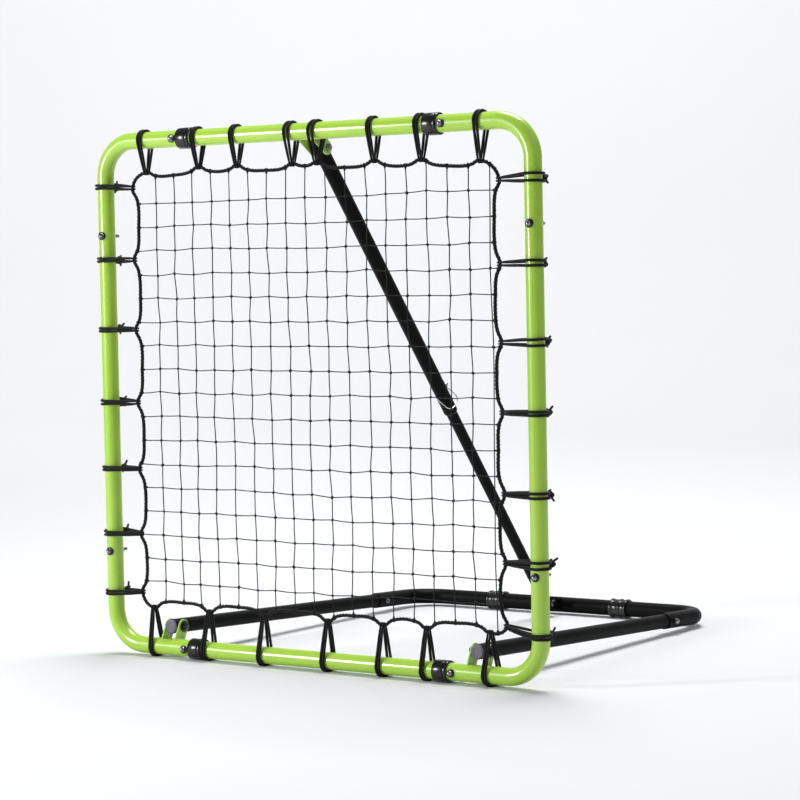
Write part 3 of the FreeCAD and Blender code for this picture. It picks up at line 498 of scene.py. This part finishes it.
def add_cord(shape, points, radius, sides, closed=False, radii=None):
    """Adds a round cord along a line to a bmesh, with a map of metres along it and shares round it."""
    curve = bpy.data.curves.new("cord", "CURVE")
    curve.dimensions = "3D"
    curve.bevel_depth = radius
    curve.bevel_resolution = (sides - 4) // 2
    curve.use_fill_caps = True
    spline = curve.splines.new("POLY")
    spline.points.add(len(points) - 1)
    for index, point in enumerate(points):
        spline.points[index].co = (*point, 1.0)
        if radii is not None:
            spline.points[index].radius = radii[index]
    spline.use_cyclic_u = closed
    length = sum((b - a).length for a, b in zip(points, points[1:]))
    mesh = curve_mesh(curve)
    for corner in mesh.uv_layers[0].data:
        corner.uv.x *= length
    shape.from_mesh(mesh)
    bpy.data.meshes.remove(mesh)


def spaced(line, step, closed):
    """The same line with points at an even step, and its length."""
    line = line + [line[0]] if closed else list(line)
    lengths = [0.0]
    for a, b in zip(line, line[1:]):
        lengths.append(lengths[-1] + (b - a).length)
    total = lengths[-1]
    count = max(2, round(total / step))
    points = []
    segment = 0
    for index in range(count if closed else count + 1):
        along = total * index / count
        while segment < len(line) - 2 and lengths[segment + 1] < along:
            segment += 1
        share = (along - lengths[segment]) / (lengths[segment + 1] - lengths[segment])
        points.append(line[segment].lerp(line[segment + 1], share))
    return points, total


def side_frame(turn):
    """On a side of the panel: X anticlockwise along the tube, Y backward, Z inward from its centre."""
    return (Matrix.Translation(PANEL_MIDDLE) @ Matrix.Rotation(-turn * math.pi / 2, 4, "Y")
            @ Matrix.Translation((0, 0, -POST_OUT)))


def strings_along(turn):
    """Where the net's strings meet a side, along that side."""
    sizes = bpy.context.scene.rebounder.net
    if turn % 2:
        places = [FIRST_CROSSING + sizes.height * k - PANEL_MIDDLE.z for k in range(CROSSINGS)]
    else:
        places = [FIRST_UPRIGHT + sizes.width * k for k in range(UPRIGHTS)]
    return sorted(-place for place in places) if turn > 1 else places


def rope_line():
    """The border rope's centre line: out to each tie, and in again to where the net pulls."""
    points = []
    clear = 9 * MM
    edge_share = 0.85
    for turn, side in enumerate(SIDES):
        place = side_frame(turn)
        spots = [(rope * MM, depth * MM) for tube, rope, depth, gap in TIES[side]]
        for (here, depth), (following, next_depth) in zip(spots, spots[1:] + [(None, None)]):
            points.append(place @ Vector((here, 0, depth)))
            if following is None:
                continue
            gap = following - here
            sag = ROPE_SAG[side] * min(1, gap / FULL_SAG_GAP)
            shoulder = min(0.34 * gap, SHOULDER)
            start, end = here + shoulder, following - shoulder
            inner = [(along, 1.0) for along in strings_along(turn) if start + clear < along < end - clear]
            for along, share in [(start, edge_share)] + inner + [(end, edge_share)]:
                straight = depth + (next_depth - depth) * (along - here) / gap
                points.append(place @ Vector((along, 0, straight + sag * share + PULL * (share == 1.0))))
    return smooth_line(points, True, 5)


def crossings(line, axis, value):
    """Where the closed line crosses a value of X (axis 0) or Z (axis 2)."""
    found = []
    for a, b in zip(line, line[1:] + line[:1]):
        if (a[axis] - value) * (b[axis] - value) < 0:
            share = (value - a[axis]) / (b[axis] - a[axis])
            found.append((a.lerp(b, share), (b - a).normalized()))
    return found


class MakeRope(bpy.types.Operator):
    """Lay the three-strand border rope round the net"""
    bl_idname = "rebounder.make_rope"
    bl_label = "Border rope"

    def execute(self, context):
        sizes = context.scene.rebounder.rope
        # Three strands that touch fill a circle 4.31 times as wide as one strand's radius, and these
        # press into each other a little
        strand = sizes.diameter / 4.31
        offset = sizes.diameter / 2 - strand
        swell = 1.06
        line, total = spaced(rope_line(), sizes.lay / 11, True)
        turns = round(total / sizes.lay)
        shape = bmesh.new()
        for ply in range(3):
            points = []
            for index, point in enumerate(line):
                ahead = line[(index + 1) % len(line)] - line[index - 1]
                across = ahead.normalized().cross(Vector((0, 1, 0)))
                angle = math.tau * (turns * index / len(line) + ply / 3)
                outward = math.cos(angle) * Vector((0, 1, 0)) + math.sin(angle) * across
                points.append(point + offset * outward)
            add_cord(shape, points, strand * swell, 8, closed=True)
        name = "border_rope_laid"
        add_piece(name, mesh_from(shape, name, 80), "panel", "border_cord", ("border_rope",))
        return {"FINISHED"}


class MakeNet(bpy.types.Operator):
    """Knot the net and hitch its strings to the border rope"""
    bl_idname = "rebounder.make_net"
    bl_label = "Net"

    def stray(self, column, row, chance, wander):
        """How far the knot at a column and a row strays, in all three directions."""
        slow = noise.noise_vector(Vector((column * 0.37, row * 0.37, 4.2)))
        lean = 0.30 if (column + row) % 2 else -0.30
        return Vector((
            (slow.x * 1.4 + lean + chance.uniform(-0.45, 0.45)) * wander,
            slow.y * 1.6 * wander,
            (slow.z * 1.4 - lean + chance.uniform(-0.5, 0.5)) * wander))

    def string(self, shape, knots, sizes, chance, droop):
        """One string through its knots, a little slack between them."""
        points = []
        for a, b in zip(knots, knots[1:]):
            points.append(a)
            slack = Vector((chance.uniform(-0.4, 0.4), chance.uniform(-0.5, 0.5), 0)) * MM
            slack.z -= droop * chance.uniform(0.2, 1.0) * (b - a).length
            points.append((a + b) / 2 + slack)
        points.append(knots[-1])
        add_cord(shape, smooth_line(points, False, 3), sizes.string / 2, 6)

    def hitch(self, shape, place, heading, size, girth):
        """One thin turn of string round the rope, with its middle `girth` from the rope's."""
        aim = heading.to_track_quat("Z", "Y").to_matrix().to_4x4()
        ring = bmesh.ops.create_circle(
            shape, segments=5, radius=size.string * 0.45,
            matrix=Matrix.Translation(place) @ aim @ Matrix.Translation((girth, 0, 0))
            @ Matrix.Rotation(math.pi / 2, 4, "X"))
        edges = list({edge for vertex in ring["verts"] for edge in vertex.link_edges})
        bmesh.ops.spin(
            shape, geom=ring["verts"] + edges, cent=place, axis=heading, dvec=(0, 0, 0),
            angle=math.tau, steps=9, use_merge=True, use_duplicate=False)

    def lump(self, shape, centre, size, stretch, chance):
        """A small hard knot, turned at random."""
        turn = Matrix.Rotation(chance.uniform(0, math.tau), 4, "Y") @ Matrix.Rotation(
            chance.uniform(-0.5, 0.5), 4, "X")
        bmesh.ops.create_icosphere(
            shape, subdivisions=2, radius=size * chance.uniform(0.88, 1.12),
            matrix=Matrix.Translation(centre) @ turn @ Matrix.Diagonal((*stretch, 1)))

    def execute(self, context):
        sizes = context.scene.rebounder.net
        rope = context.scene.rebounder.rope
        girth = rope.diameter / 2 + sizes.string * 0.1
        chance = random.Random(12)
        noise.seed_set(12)
        line = rope_line()
        columns = [FIRST_UPRIGHT + sizes.width * k for k in range(UPRIGHTS)]
        rows = [FIRST_CROSSING + sizes.height * k for k in range(CROSSINGS)]
        margin = 12 * MM
        reach_up = [sorted(spot.z for spot, heading in crossings(line, 0, x)) for x in columns]
        reach_across = [sorted(spot.x for spot, heading in crossings(line, 2, z)) for z in rows]
        knots = {}
        for i, x in enumerate(columns):
            for j, z in enumerate(rows):
                inside_up = reach_up[i] and reach_up[i][0] + margin < z < reach_up[i][-1] - margin
                if inside_up and reach_across[j][0] + margin < x < reach_across[j][-1] - margin:
                    knots[i, j] = Vector((x, PANEL_PLANE, z)) + self.stray(i, j, chance, sizes.wander)
        strings = bmesh.new()
        hitches = bmesh.new()
        lumps = bmesh.new()
        row_droop = 0.012
        for axis, places, droop in ((0, columns, 0.0), (2, rows, row_droop)):
            for index, value in enumerate(places):
                ends = sorted(crossings(line, axis, value), key=lambda found: found[0][2 - axis])
                row = [knots[key] for key in sorted(knots) if key[axis // 2] == index]
                if len(ends) < 2 or not row:
                    continue
                first, last = ends[0], ends[-1]
                self.string(strings, [first[0]] + row + [last[0]], sizes, chance, droop)
                for (spot, heading), neighbour in ((first, row[0]), (last, row[-1])):
                    self.hitch(hitches, spot, heading, sizes, girth)
                    inward = (neighbour - spot).normalized()
                    self.lump(lumps, spot + inward * (rope.diameter / 2 + sizes.string * 0.5),
                              sizes.knot * 0.38, (1.0, 0.8, 1.0), chance)
        for key in sorted(knots):
            self.lump(lumps, knots[key], sizes.knot / 2, (1.12, 0.72, 0.86), chance)
        for vertex in lumps.verts:
            vertex.co += noise.noise_vector(vertex.co * 900) * 0.45 * MM
        add_piece("net_strings", mesh_from(strings, "net_strings", 80), "panel", "net_cord", ("net",))
        add_piece("net_knots", mesh_from(lumps, "net_knots", 80), "panel", "net_cord")
        bmesh.ops.recalc_face_normals(hitches, faces=hitches.faces)
        add_piece("net_hitches", mesh_from(hitches, "net_hitches", 80), "panel", "net_cord")
        return {"FINISHED"}


class MakeTies(bpy.types.Operator):
    """Tie the border rope to the frame with doubled elastic cords, knotted behind the tubes"""
    bl_idname = "rebounder.make_ties"
    bl_label = "Elastic ties"

    def loop(self, hold, wrap, depth, rear, front, nip):
        """One turn round the tube and the rope, in the frame of its side."""
        lean = math.acos((hold - wrap) / depth)
        points = []
        around = 18
        for step in range(around + 1):
            share = step / around
            angle = lean + (math.tau - 2 * lean) * share
            ease = share * share * (3 - 2 * share)
            along = rear + (front - rear) * ease
            points.append(Vector((along, hold * math.sin(angle), hold * math.cos(angle))))
        leave = Vector((front, -hold * math.sin(lean), hold * math.cos(lean)))
        reach = Vector((nip, -wrap * math.sin(lean), depth + wrap * math.cos(lean)))
        points += [leave.lerp(reach, share) for share in (0.33, 0.67)]
        turns = 6
        for step in range(turns + 1):
            angle = -lean + 2 * lean * step / turns
            points.append(Vector((nip, wrap * math.sin(angle), depth + wrap * math.cos(angle))))
        leave = Vector((nip, wrap * math.sin(lean), depth + wrap * math.cos(lean)))
        reach = Vector((rear, hold * math.sin(lean), hold * math.cos(lean)))
        points += [leave.lerp(reach, share) for share in (0.33, 0.67)]
        return points

    def knot(self, shape, place, centre, radius, sizes, chance):
        """An overhand knot behind the tube, with its two cut ends."""
        turn = Matrix.Rotation(chance.uniform(0, math.tau), 4, "Y")
        size = (sizes.knot / 2 - radius) / 3
        points = []
        for step in range(44):
            angle = math.tau * step / 44
            points.append(place @ (centre + turn @ Vector((
                size * (math.sin(angle) + 2 * math.sin(2 * angle)),
                -size * 2.2 * math.sin(3 * angle),
                size * (math.cos(angle) - 2 * math.cos(2 * angle))))))
        add_cord(shape, points, radius, 8, closed=True)
        bmesh.ops.create_icosphere(shape, subdivisions=2, radius=sizes.knot * 0.4,
                                   matrix=place @ Matrix.Translation(centre))
        for side in (-1, 1):
            heading = Vector((side * chance.uniform(0.5, 0.9), chance.uniform(0.2, 0.7),
                              chance.uniform(-0.6, 0.6))).normalized()
            bend = Vector((chance.uniform(-0.3, 0.3), chance.uniform(-0.1, 0.3),
                           chance.uniform(-0.5, 0.1)))
            length = sizes.tail * chance.uniform(0.75, 1.1)
            route = [centre + heading * length * share + bend * length * share * share * 0.5
                     for share in (0.0, 0.3, 0.55, 0.8, 1.0)]
            line = smooth_line([place @ point for point in route], False, 4)
            last = len(line) - 1
            shares = [1.0 - 0.18 * max(0, index / last - 0.8) / 0.2 for index in range(len(line))]
            add_cord(shape, line, radius * 0.9, 8, radii=shares)

    def execute(self, context):
        sizes = context.scene.rebounder.ties
        rope = context.scene.rebounder.rope
        chance = random.Random(7)
        radius = sizes.cord / 2
        hold = TUBE + radius + 0.1 * MM
        wrap = rope.diameter / 2 + radius * 0.4
        # The stretched cord grows thinner over the last stretch before the rope
        squeeze = 0.28
        pinch = 18 * MM
        for turn, side in enumerate(SIDES):
            shape = bmesh.new()
            place = side_frame(turn)
            for tube, spot, depth, gap in TIES[side]:
                spread = chance.uniform(5.4, 9.5) if turn % 2 == 0 else chance.uniform(6.0, 15.0)
                drift = (chance.uniform(-1.5, 1.5) + ASIDE.get((side, tube), 0)) * MM
                for sign in (-0.5, 0.5):
                    points = self.loop(hold, wrap, depth * MM, tube * MM + drift + sign * spread * MM,
                                       (tube + sign * gap) * MM, spot * MM + sign * sizes.cord * 0.94)
                    line = smooth_line(points, True, 2)
                    near = [min(1, max(0, (point.z - depth * MM) / pinch + 1.2)) for point in line]
                    add_cord(shape, [place @ point for point in line], radius, 10, closed=True,
                             radii=[1 - squeeze * share for share in near])
                centre = Vector((tube * MM + drift, TUBE + KNOT_BACK, chance.uniform(-3, 3) * MM))
                for sign in (-0.5, 0.5):
                    root = Vector((tube * MM + drift + sign * spread * MM, TUBE + radius, 0))
                    add_cord(shape, [place @ root, place @ centre], radius * 0.9, 10)
                self.knot(shape, place, centre, radius * 0.9, sizes, chance)
            name = "elastic_ties_" + side
            add_piece(name, mesh_from(shape, name, 80), "panel", "elastic_cord", ("ties_" + side,))
        return {"FINISHED"}


def turned(shape, profile, place, steps=48, soft=0.0):
    """Adds a shape turned about X from points (along, radius), with its sharp rims rounded."""
    part = bmesh.new()
    ring = [part.verts.new((along, radius, 0)) for along, radius in profile]
    closed = all(radius > 0 for along, radius in profile)
    edges = [part.edges.new(pair) for pair in zip(ring, ring[1:])]
    if closed:
        edges.append(part.edges.new((ring[-1], ring[0])))
    bmesh.ops.spin(part, geom=ring + edges, cent=(0, 0, 0), axis=(1, 0, 0), dvec=(0, 0, 0),
                   angle=math.tau, steps=steps, use_merge=True, use_duplicate=False)
    bmesh.ops.remove_doubles(part, verts=part.verts, dist=1e-6)
    bmesh.ops.recalc_face_normals(part, faces=part.faces)
    if soft:
        soften(part, soft)
    bmesh.ops.transform(part, matrix=place, verts=part.verts)
    merge_into(shape, part)


def merge_into(shape, part):
    mesh = bpy.data.meshes.new("part")
    part.to_mesh(mesh)
    part.free()
    shape.from_mesh(mesh)
    bpy.data.meshes.remove(mesh)


def soften(part, width, sharp=35, segments=2):
    """Rounds every edge that turns by more than `sharp` degrees."""
    rims = [edge for edge in part.edges
            if len(edge.link_faces) == 2 and edge.calc_face_angle() > math.radians(sharp)]
    bmesh.ops.bevel(part, geom=rims, offset=width, affect="EDGES", segments=segments, profile=0.5,
                    material=-1, clamp_overlap=True)


def softened_copy(node, width):
    """A copy of a node with its triangles joined into flat faces and its edges rounded."""
    shape = bmesh.new()
    shape.from_mesh(NODES[node].data)
    bmesh.ops.remove_doubles(shape, verts=shape.verts, dist=2e-6)
    bmesh.ops.dissolve_limit(shape, angle_limit=math.radians(0.4), verts=shape.verts, edges=shape.edges)
    soften(shape, width)
    return shape


class MakeCollars(bpy.types.Operator):
    """Fit the grooved plastic collars and sleeves over the tube seams"""
    bl_idname = "rebounder.make_collars"
    bl_label = "Collars and sleeves"

    def execute(self, context):
        # Profiles give places along the tube in millimetres, and radii: a collar has a wide band, a
        # groove and a narrow ring, a sleeve three ribs
        play = 0.1 * MM
        rib, groove, bore = 20 * MM, 18.7 * MM, TUBE + play
        profile = ((-15, bore), (-15, rib - 1.2 * MM), (-14.6, rib - 0.4 * MM), (-13.6, rib), (8.0, rib),
                   (8.3, groove), (9.3, groove), (9.6, rib), (13.8, rib), (14.7, rib - 0.5 * MM),
                   (15, rib - 1.2 * MM), (15, bore))
        profile = [(along * MM, radius) for along, radius in profile]
        for name in ("bottom_right_collar", "bottom_left_collar", "top_left_collar", "top_right_collar"):
            shape = bmesh.new()
            turned(shape, profile, Matrix.Translation(middle_of(name)), 56, 0.25 * MM)
            add_piece(name + "_ribbed", mesh_from(shape, name), "panel", "black_plastic", (name,))
        rib, groove, bore = 20 * MM, 18.8 * MM, REAR_TUBE + play
        profile = ((-22, bore), (-22, rib), (-17.5, rib), (-17.2, groove), (-2.4, groove), (-2.1, rib),
                   (2.1, rib), (2.4, groove), (12.2, groove), (12.5, rib), (17, rib), (17, bore))
        profile = [(along * MM, radius) for along, radius in profile]
        seam = LEG_OUT - 197 * MM
        for name, sign in (("left_rear_sleeve", -1), ("right_rear_sleeve", 1)):
            facing = Matrix.Rotation(0 if sign > 0 else math.pi, 4, "Z")
            shape = bmesh.new()
            place = Matrix.Translation(REAR_BAR + Vector((sign * seam, 0, 0))) @ facing
            turned(shape, profile, place, 56, 0.4 * MM)
            add_piece(name + "_ribbed", mesh_from(shape, name), "base", "black_plastic", (name,))
        return {"FINISHED"}


class MakeBolts(bpy.types.Operator):
    """Turn the domed bolts and the saddle washers of the panel's seams"""
    bl_idname = "rebounder.make_bolts"
    bl_label = "Seam bolts"

    def execute(self, context):
        washer_top = TUBE + 2.5 * MM
        dome_height, dome_radius = 5.5 * MM, 5.2 * MM
        dome = [(-washer_top - dome_height * math.cos(angle), dome_radius * math.sin(angle))
                for angle in [math.radians(step * 10) for step in range(10)]]
        tail = TUBE + 17 * MM
        shank, root, pitch = 3 * MM, 2.55 * MM, 1.0 * MM
        thread = [(-washer_top, shank), (TUBE + 2 * MM, shank)]
        along = TUBE + 3 * MM
        while along < tail - 1.2 * MM:
            thread += [(along, shank), (along + pitch / 2, root)]
            along += pitch
        thread += [(tail - 0.6 * MM, shank), (tail, 2.3 * MM), (tail, 0)]
        washer = [(-washer_top, 3.1 * MM), (-TUBE + 3.0 * MM, 3.1 * MM), (-TUBE + 3.0 * MM, 8.0 * MM),
                  (-(TUBE + 1.2 * MM), 8.0 * MM), (-(TUBE + 2.1 * MM), 7.6 * MM), (-washer_top, 6.6 * MM)]
        bolts, washers = bmesh.new(), bmesh.new()
        back_to_x = Matrix.Rotation(math.pi / 2, 4, "Z")
        for turn in range(4):
            for spot in (-BOLT, BOLT):
                place = side_frame(turn) @ Matrix.Translation((spot, 0, 0)) @ back_to_x
                turned(bolts, dome + thread, place, 28)
                turned(washers, washer, place, 32, 0.25 * MM)
        add_piece("panel_dome_bolts", mesh_from(bolts, "panel_dome_bolts", 40), "panel", "dark_steel",
                  ("panel_bolts",))
        add_piece("panel_saddle_washers", mesh_from(washers, "panel_saddle_washers", 40), "panel",
                  "black_plastic", ("panel_washers",))
        return {"FINISHED"}


class MakePlugs(bpy.types.Operator):
    """Turn the plastic plugs in the open tube ends"""
    bl_idname = "rebounder.make_plugs"
    bl_label = "Tube plugs"

    def execute(self, context):
        for side, sign in (("left", -1), ("right", 1)):
            node = side + "_leg_plug"
            low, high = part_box(side + "_leg")
            front = Vector((sign * LEG_OUT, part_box(node)[0].y, middle_of(node).z))
            rear = Vector((sign * LEG_OUT, high.y, low.z + LEG_TUBE))
            along = (rear - front).normalized()
            place = Matrix.Translation(front) @ along.to_track_quat("X", "Z").to_matrix().to_4x4()
            outer = LEG_TUBE
            bore = outer - 1.7 * MM
            depth = 9 * MM
            profile = [(0.9 * MM, 0), (0.9 * MM, outer * 0.5), (0.2 * MM, outer * 0.56), (0, outer * 0.62),
                       (0.1 * MM, outer * 0.78), (0.7 * MM, outer * 0.9), (1.6 * MM, outer * 0.97),
                       (2.6 * MM, outer * 0.985), (2.6 * MM, bore), (depth, bore), (depth, 0)]
            shape = bmesh.new()
            turned(shape, profile, place, 40)
            add_piece(node + "_moulded", mesh_from(shape, node, 30), "base", "grey_plug", (node,))
        return {"FINISHED"}


class MakeEars(bpy.types.Operator):
    """Round the edges of the welded ears and pivot bolts, and lay their weld beads"""
    bl_idname = "rebounder.make_ears"
    bl_label = "Ears and pivots"

    def bead(self, shape, centre, toward, tube, side, half_width):
        """A bead of weld where the side of an ear meets its tube."""
        reach = tube + 0.5 * MM
        lean = math.asin(half_width / reach) * 0.97
        across = toward.cross(Vector((1, 0, 0)))
        points = []
        radii = []
        count = 26
        for step in range(count + 1):
            angle = -lean + 2 * lean * step / count
            points.append(centre + Vector((side, 0, 0)) + reach * (
                math.cos(angle) * toward + math.sin(angle) * across))
            radii.append(0.86 + 0.22 * abs(math.sin(step * 1.25)) if 0 < step < count else 0.55)
        add_cord(shape, smooth_line(points, False, 1), 1.6 * MM, 8, radii=radii)

    def weld_pair(self, shape, centre, pivot, tube, inner, outer, half_width):
        """Beads on both sides of a pair of ears that stand on a tube and hold a pivot."""
        toward = (Vector((centre.x, pivot.y, pivot.z)) - centre).normalized()
        for side in (-outer, -inner, inner, outer):
            self.bead(shape, centre, toward, tube, side, half_width)

    def execute(self, context):
        for node, body, slot, width in (
                ("left_hinge_ears", "panel", "green_paint", 0.6),
                ("right_hinge_ears", "panel", "green_paint", 0.6),
                ("top_ears", "panel", "green_paint", 0.6),
                ("foot_ears", "base", "black_paint", 0.6),
                ("hinge_bolts", "panel", "black_plastic", 0.5),
                ("hinge_nuts", "panel", "dark_steel", 0.5),
                ("foot_bolt", "base", "dark_steel", 0.5),
                ("foot_bolt_nut", "base", "dark_steel", 0.5),
                ("top_bolt_head_stub", "panel", "dark_steel", 0.5),
                ("top_bolt_end_stub", "panel", "dark_steel", 0.3),
                ("top_bolt_nut", "panel", "dark_steel", 0.5),
                ("panel_nuts", "panel", "dark_steel", 0.4),
                ("base_nuts", "base", "dark_steel", 0.4)):
            shape = softened_copy(node, width * MM)
            add_piece(node + "_rounded", mesh_from(shape, node, 35), body, slot, (node,))
        panel_welds = bmesh.new()
        bar_half, foot_half = 13.5 * MM, 12 * MM
        gap = LEG_TUBE + 0.6 * MM
        for sign in (-1, 1):
            self.weld_pair(panel_welds, Vector((sign * LEG_OUT, PANEL_PLANE, BAR_LOW)),
                           middle_of("hinge_bolts"), TUBE, gap - 0.2 * MM, gap + 3.4 * MM, bar_half)
        self.weld_pair(panel_welds, Vector((0, PANEL_PLANE, BAR_HIGH)), middle_of("top_bolt_nut"), TUBE,
                       14.4 * MM, 18 * MM, bar_half)
        base_welds = bmesh.new()
        self.weld_pair(base_welds, Vector((0, REAR_BAR.y, REAR_BAR.z)), middle_of("foot_bolt_nut"),
                       REAR_TUBE, 11.1 * MM, 14.7 * MM, foot_half)
        for name, shape, body, slot in (("panel_weld_beads", panel_welds, "panel", "green_paint"),
                                        ("base_weld_beads", base_welds, "base", "black_paint")):
            add_piece(name, mesh_from(shape, name, 80), body, slot)
        return {"FINISHED"}


class PaintFrame(bpy.types.Operator):
    """Give every node that stays its slot's finish"""
    bl_idname = "rebounder.paint_frame"
    bl_label = "Paint and plating"

    def execute(self, context):
        for name, node in NODES.items():
            if node.hide_render:
                continue
            for place in node.material_slots:
                place.material = finish_of(SLOTS[name])
        return {"FINISHED"}


class MakeStage(bpy.types.Operator):
    """Set out the floor, the lights and the camera"""
    bl_idname = "rebounder.make_stage"
    bl_label = "Stage"

    def floor(self, width):
        """A pale floor that sweeps up behind the object in one smooth curve."""
        shape = bmesh.new()
        front, depth, bend, top = -9.0, 5.0, 2.5, 6.0
        steps = 16
        profile = [Vector((-width / 2, front, 0)), Vector((-width / 2, depth, 0))]
        for step in range(1, steps + 1):
            angle = math.pi / 2 * step / steps
            profile.append(Vector((
                -width / 2, depth + bend * math.sin(angle), bend - bend * math.cos(angle))))
        profile.append(Vector((-width / 2, depth + bend, top)))
        ring = [shape.verts.new(point) for point in profile]
        edges = [shape.edges.new(pair) for pair in zip(ring, ring[1:])]
        swept = bmesh.ops.extrude_edge_only(shape, edges=edges)
        moved = [item for item in swept["geom"] if isinstance(item, bmesh.types.BMVert)]
        bmesh.ops.translate(shape, vec=(width, 0, 0), verts=moved)
        bmesh.ops.recalc_face_normals(shape, faces=shape.faces)
        if sum(face.normal.z for face in shape.faces) < 0:
            bmesh.ops.reverse_faces(shape, faces=shape.faces)
        stage = bpy.data.objects.new("studio_floor", mesh_from(shape, "studio_floor"))
        bpy.context.scene.collection.objects.link(stage)
        finish = Finish("dress_floor")
        tone = finish.cloud(finish.place(), 1.4, 2.0)
        finish.set(Base_Color=finish.mix(tone, (0.684, 0.694, 0.709, 1), (0.696, 0.706, 0.719, 1)))
        finish.set(Roughness=0.75 + 0.1 * tone, Specular_IOR_Level=0.2)
        stage.data.materials.append(finish.material)

    def light(self, name, place, target, width, height, power):
        """A soft box of a width and a height, at a place and turned to a target."""
        lamp = bpy.data.lights.new(name, "AREA")
        lamp.shape = "RECTANGLE"
        lamp.size = width
        lamp.size_y = height
        lamp.energy = power
        holder = bpy.data.objects.new(name, lamp)
        bpy.context.scene.collection.objects.link(holder)
        aim = (Vector(target) - Vector(place)).to_track_quat("-Z", "Y")
        holder.matrix_world = Matrix.Translation(place) @ aim.to_matrix().to_4x4()

    def execute(self, context):
        sizes = context.scene.rebounder.stage
        self.floor(sizes.floor)
        centre = (0.0, 0.0, 0.5)
        self.light("key_light", (-2.3, -3.4, 1.25), centre, 0.45, 1.1, 108)
        self.light("top_light", (-0.3, 1.0, 5.7), (0.4, -3.0, 0), 2.8, 2.8, 385)
        self.light("side_light", (6.6, -1.9, 4.7), (0, 0, 0.2), 4.4, 4.4, 60)
        self.light("backdrop_light", (-7.2, 2.8, 5.4), (-7.6, 7.2, 2.3), 15.0, 3.0, 640)
        world = bpy.data.worlds.new("studio")
        world.use_nodes = True
        backing = world.node_tree.nodes["Background"]
        backing.inputs["Color"].default_value = (0.94, 0.96, 1.0, 1)
        backing.inputs["Strength"].default_value = 0.22
        context.scene.world = world
        context.scene.view_settings.view_transform = "Standard"

        turn, pitch, roll = [math.radians(angle) for angle in (CAMERA_TURN, CAMERA_PITCH, CAMERA_ROLL)]
        right = Vector((math.cos(turn), math.sin(turn), 0))
        level = Vector((-math.sin(turn), math.cos(turn), 0))
        ahead = level * math.cos(pitch) - Vector((0, 0, math.sin(pitch)))
        up = right.cross(ahead)
        across = math.cos(roll) * right + math.sin(roll) * up
        upward = -math.sin(roll) * right + math.cos(roll) * up
        view = bpy.data.cameras.new("photo_view")
        view.lens = sizes.lens
        view.sensor_width = 36
        view.clip_end = 50
        camera = bpy.data.objects.new("photo_view", view)
        context.scene.collection.objects.link(camera)
        turned_view = Matrix((across, upward, -ahead)).transposed().to_4x4()
        camera.matrix_world = Matrix.Translation(CAMERA_PLACE) @ turned_view
        context.scene.camera = camera
        return {"FINISHED"}


OPERATORS = (
    MakeRope, MakeNet, MakeTies, MakeCollars, MakeBolts, MakePlugs, MakeEars, PaintFrame, MakeStage)
GROUPS = (NetSizes, RopeSizes, TieSizes, PaintColours, StageSizes, Rebounder)


class RebounderPanel(bpy.types.Panel):
    """Lists the rebounder's pieces and sizes"""
    bl_idname = "VIEW3D_PT_rebounder"
    bl_label = "Rebounder"
    bl_space_type = "VIEW_3D"
    bl_region_type = "UI"
    bl_category = "Rebounder"

    def draw(self, context):
        settings = context.scene.rebounder
        for group in (settings.net, settings.rope, settings.ties, settings.paint, settings.stage):
            box = self.layout.box()
            for key in group.bl_rna.properties.keys():
                if key not in ("rna_type", "name"):
                    box.prop(group, key)
        for operator in OPERATORS:
            self.layout.operator(operator.bl_idname)


def register():
    for item in GROUPS + OPERATORS + (RebounderPanel,):
        bpy.utils.register_class(item)
    bpy.types.Scene.rebounder = PointerProperty(type=Rebounder)


def unregister():
    del bpy.types.Scene.rebounder
    for item in reversed(GROUPS + OPERATORS + (RebounderPanel,)):
        bpy.utils.unregister_class(item)


def main():
    register()
    for operator in OPERATORS:
        group, name = operator.bl_idname.split(".")
        getattr(getattr(bpy.ops, group), name)()


if __name__ == "__main__":
    main()
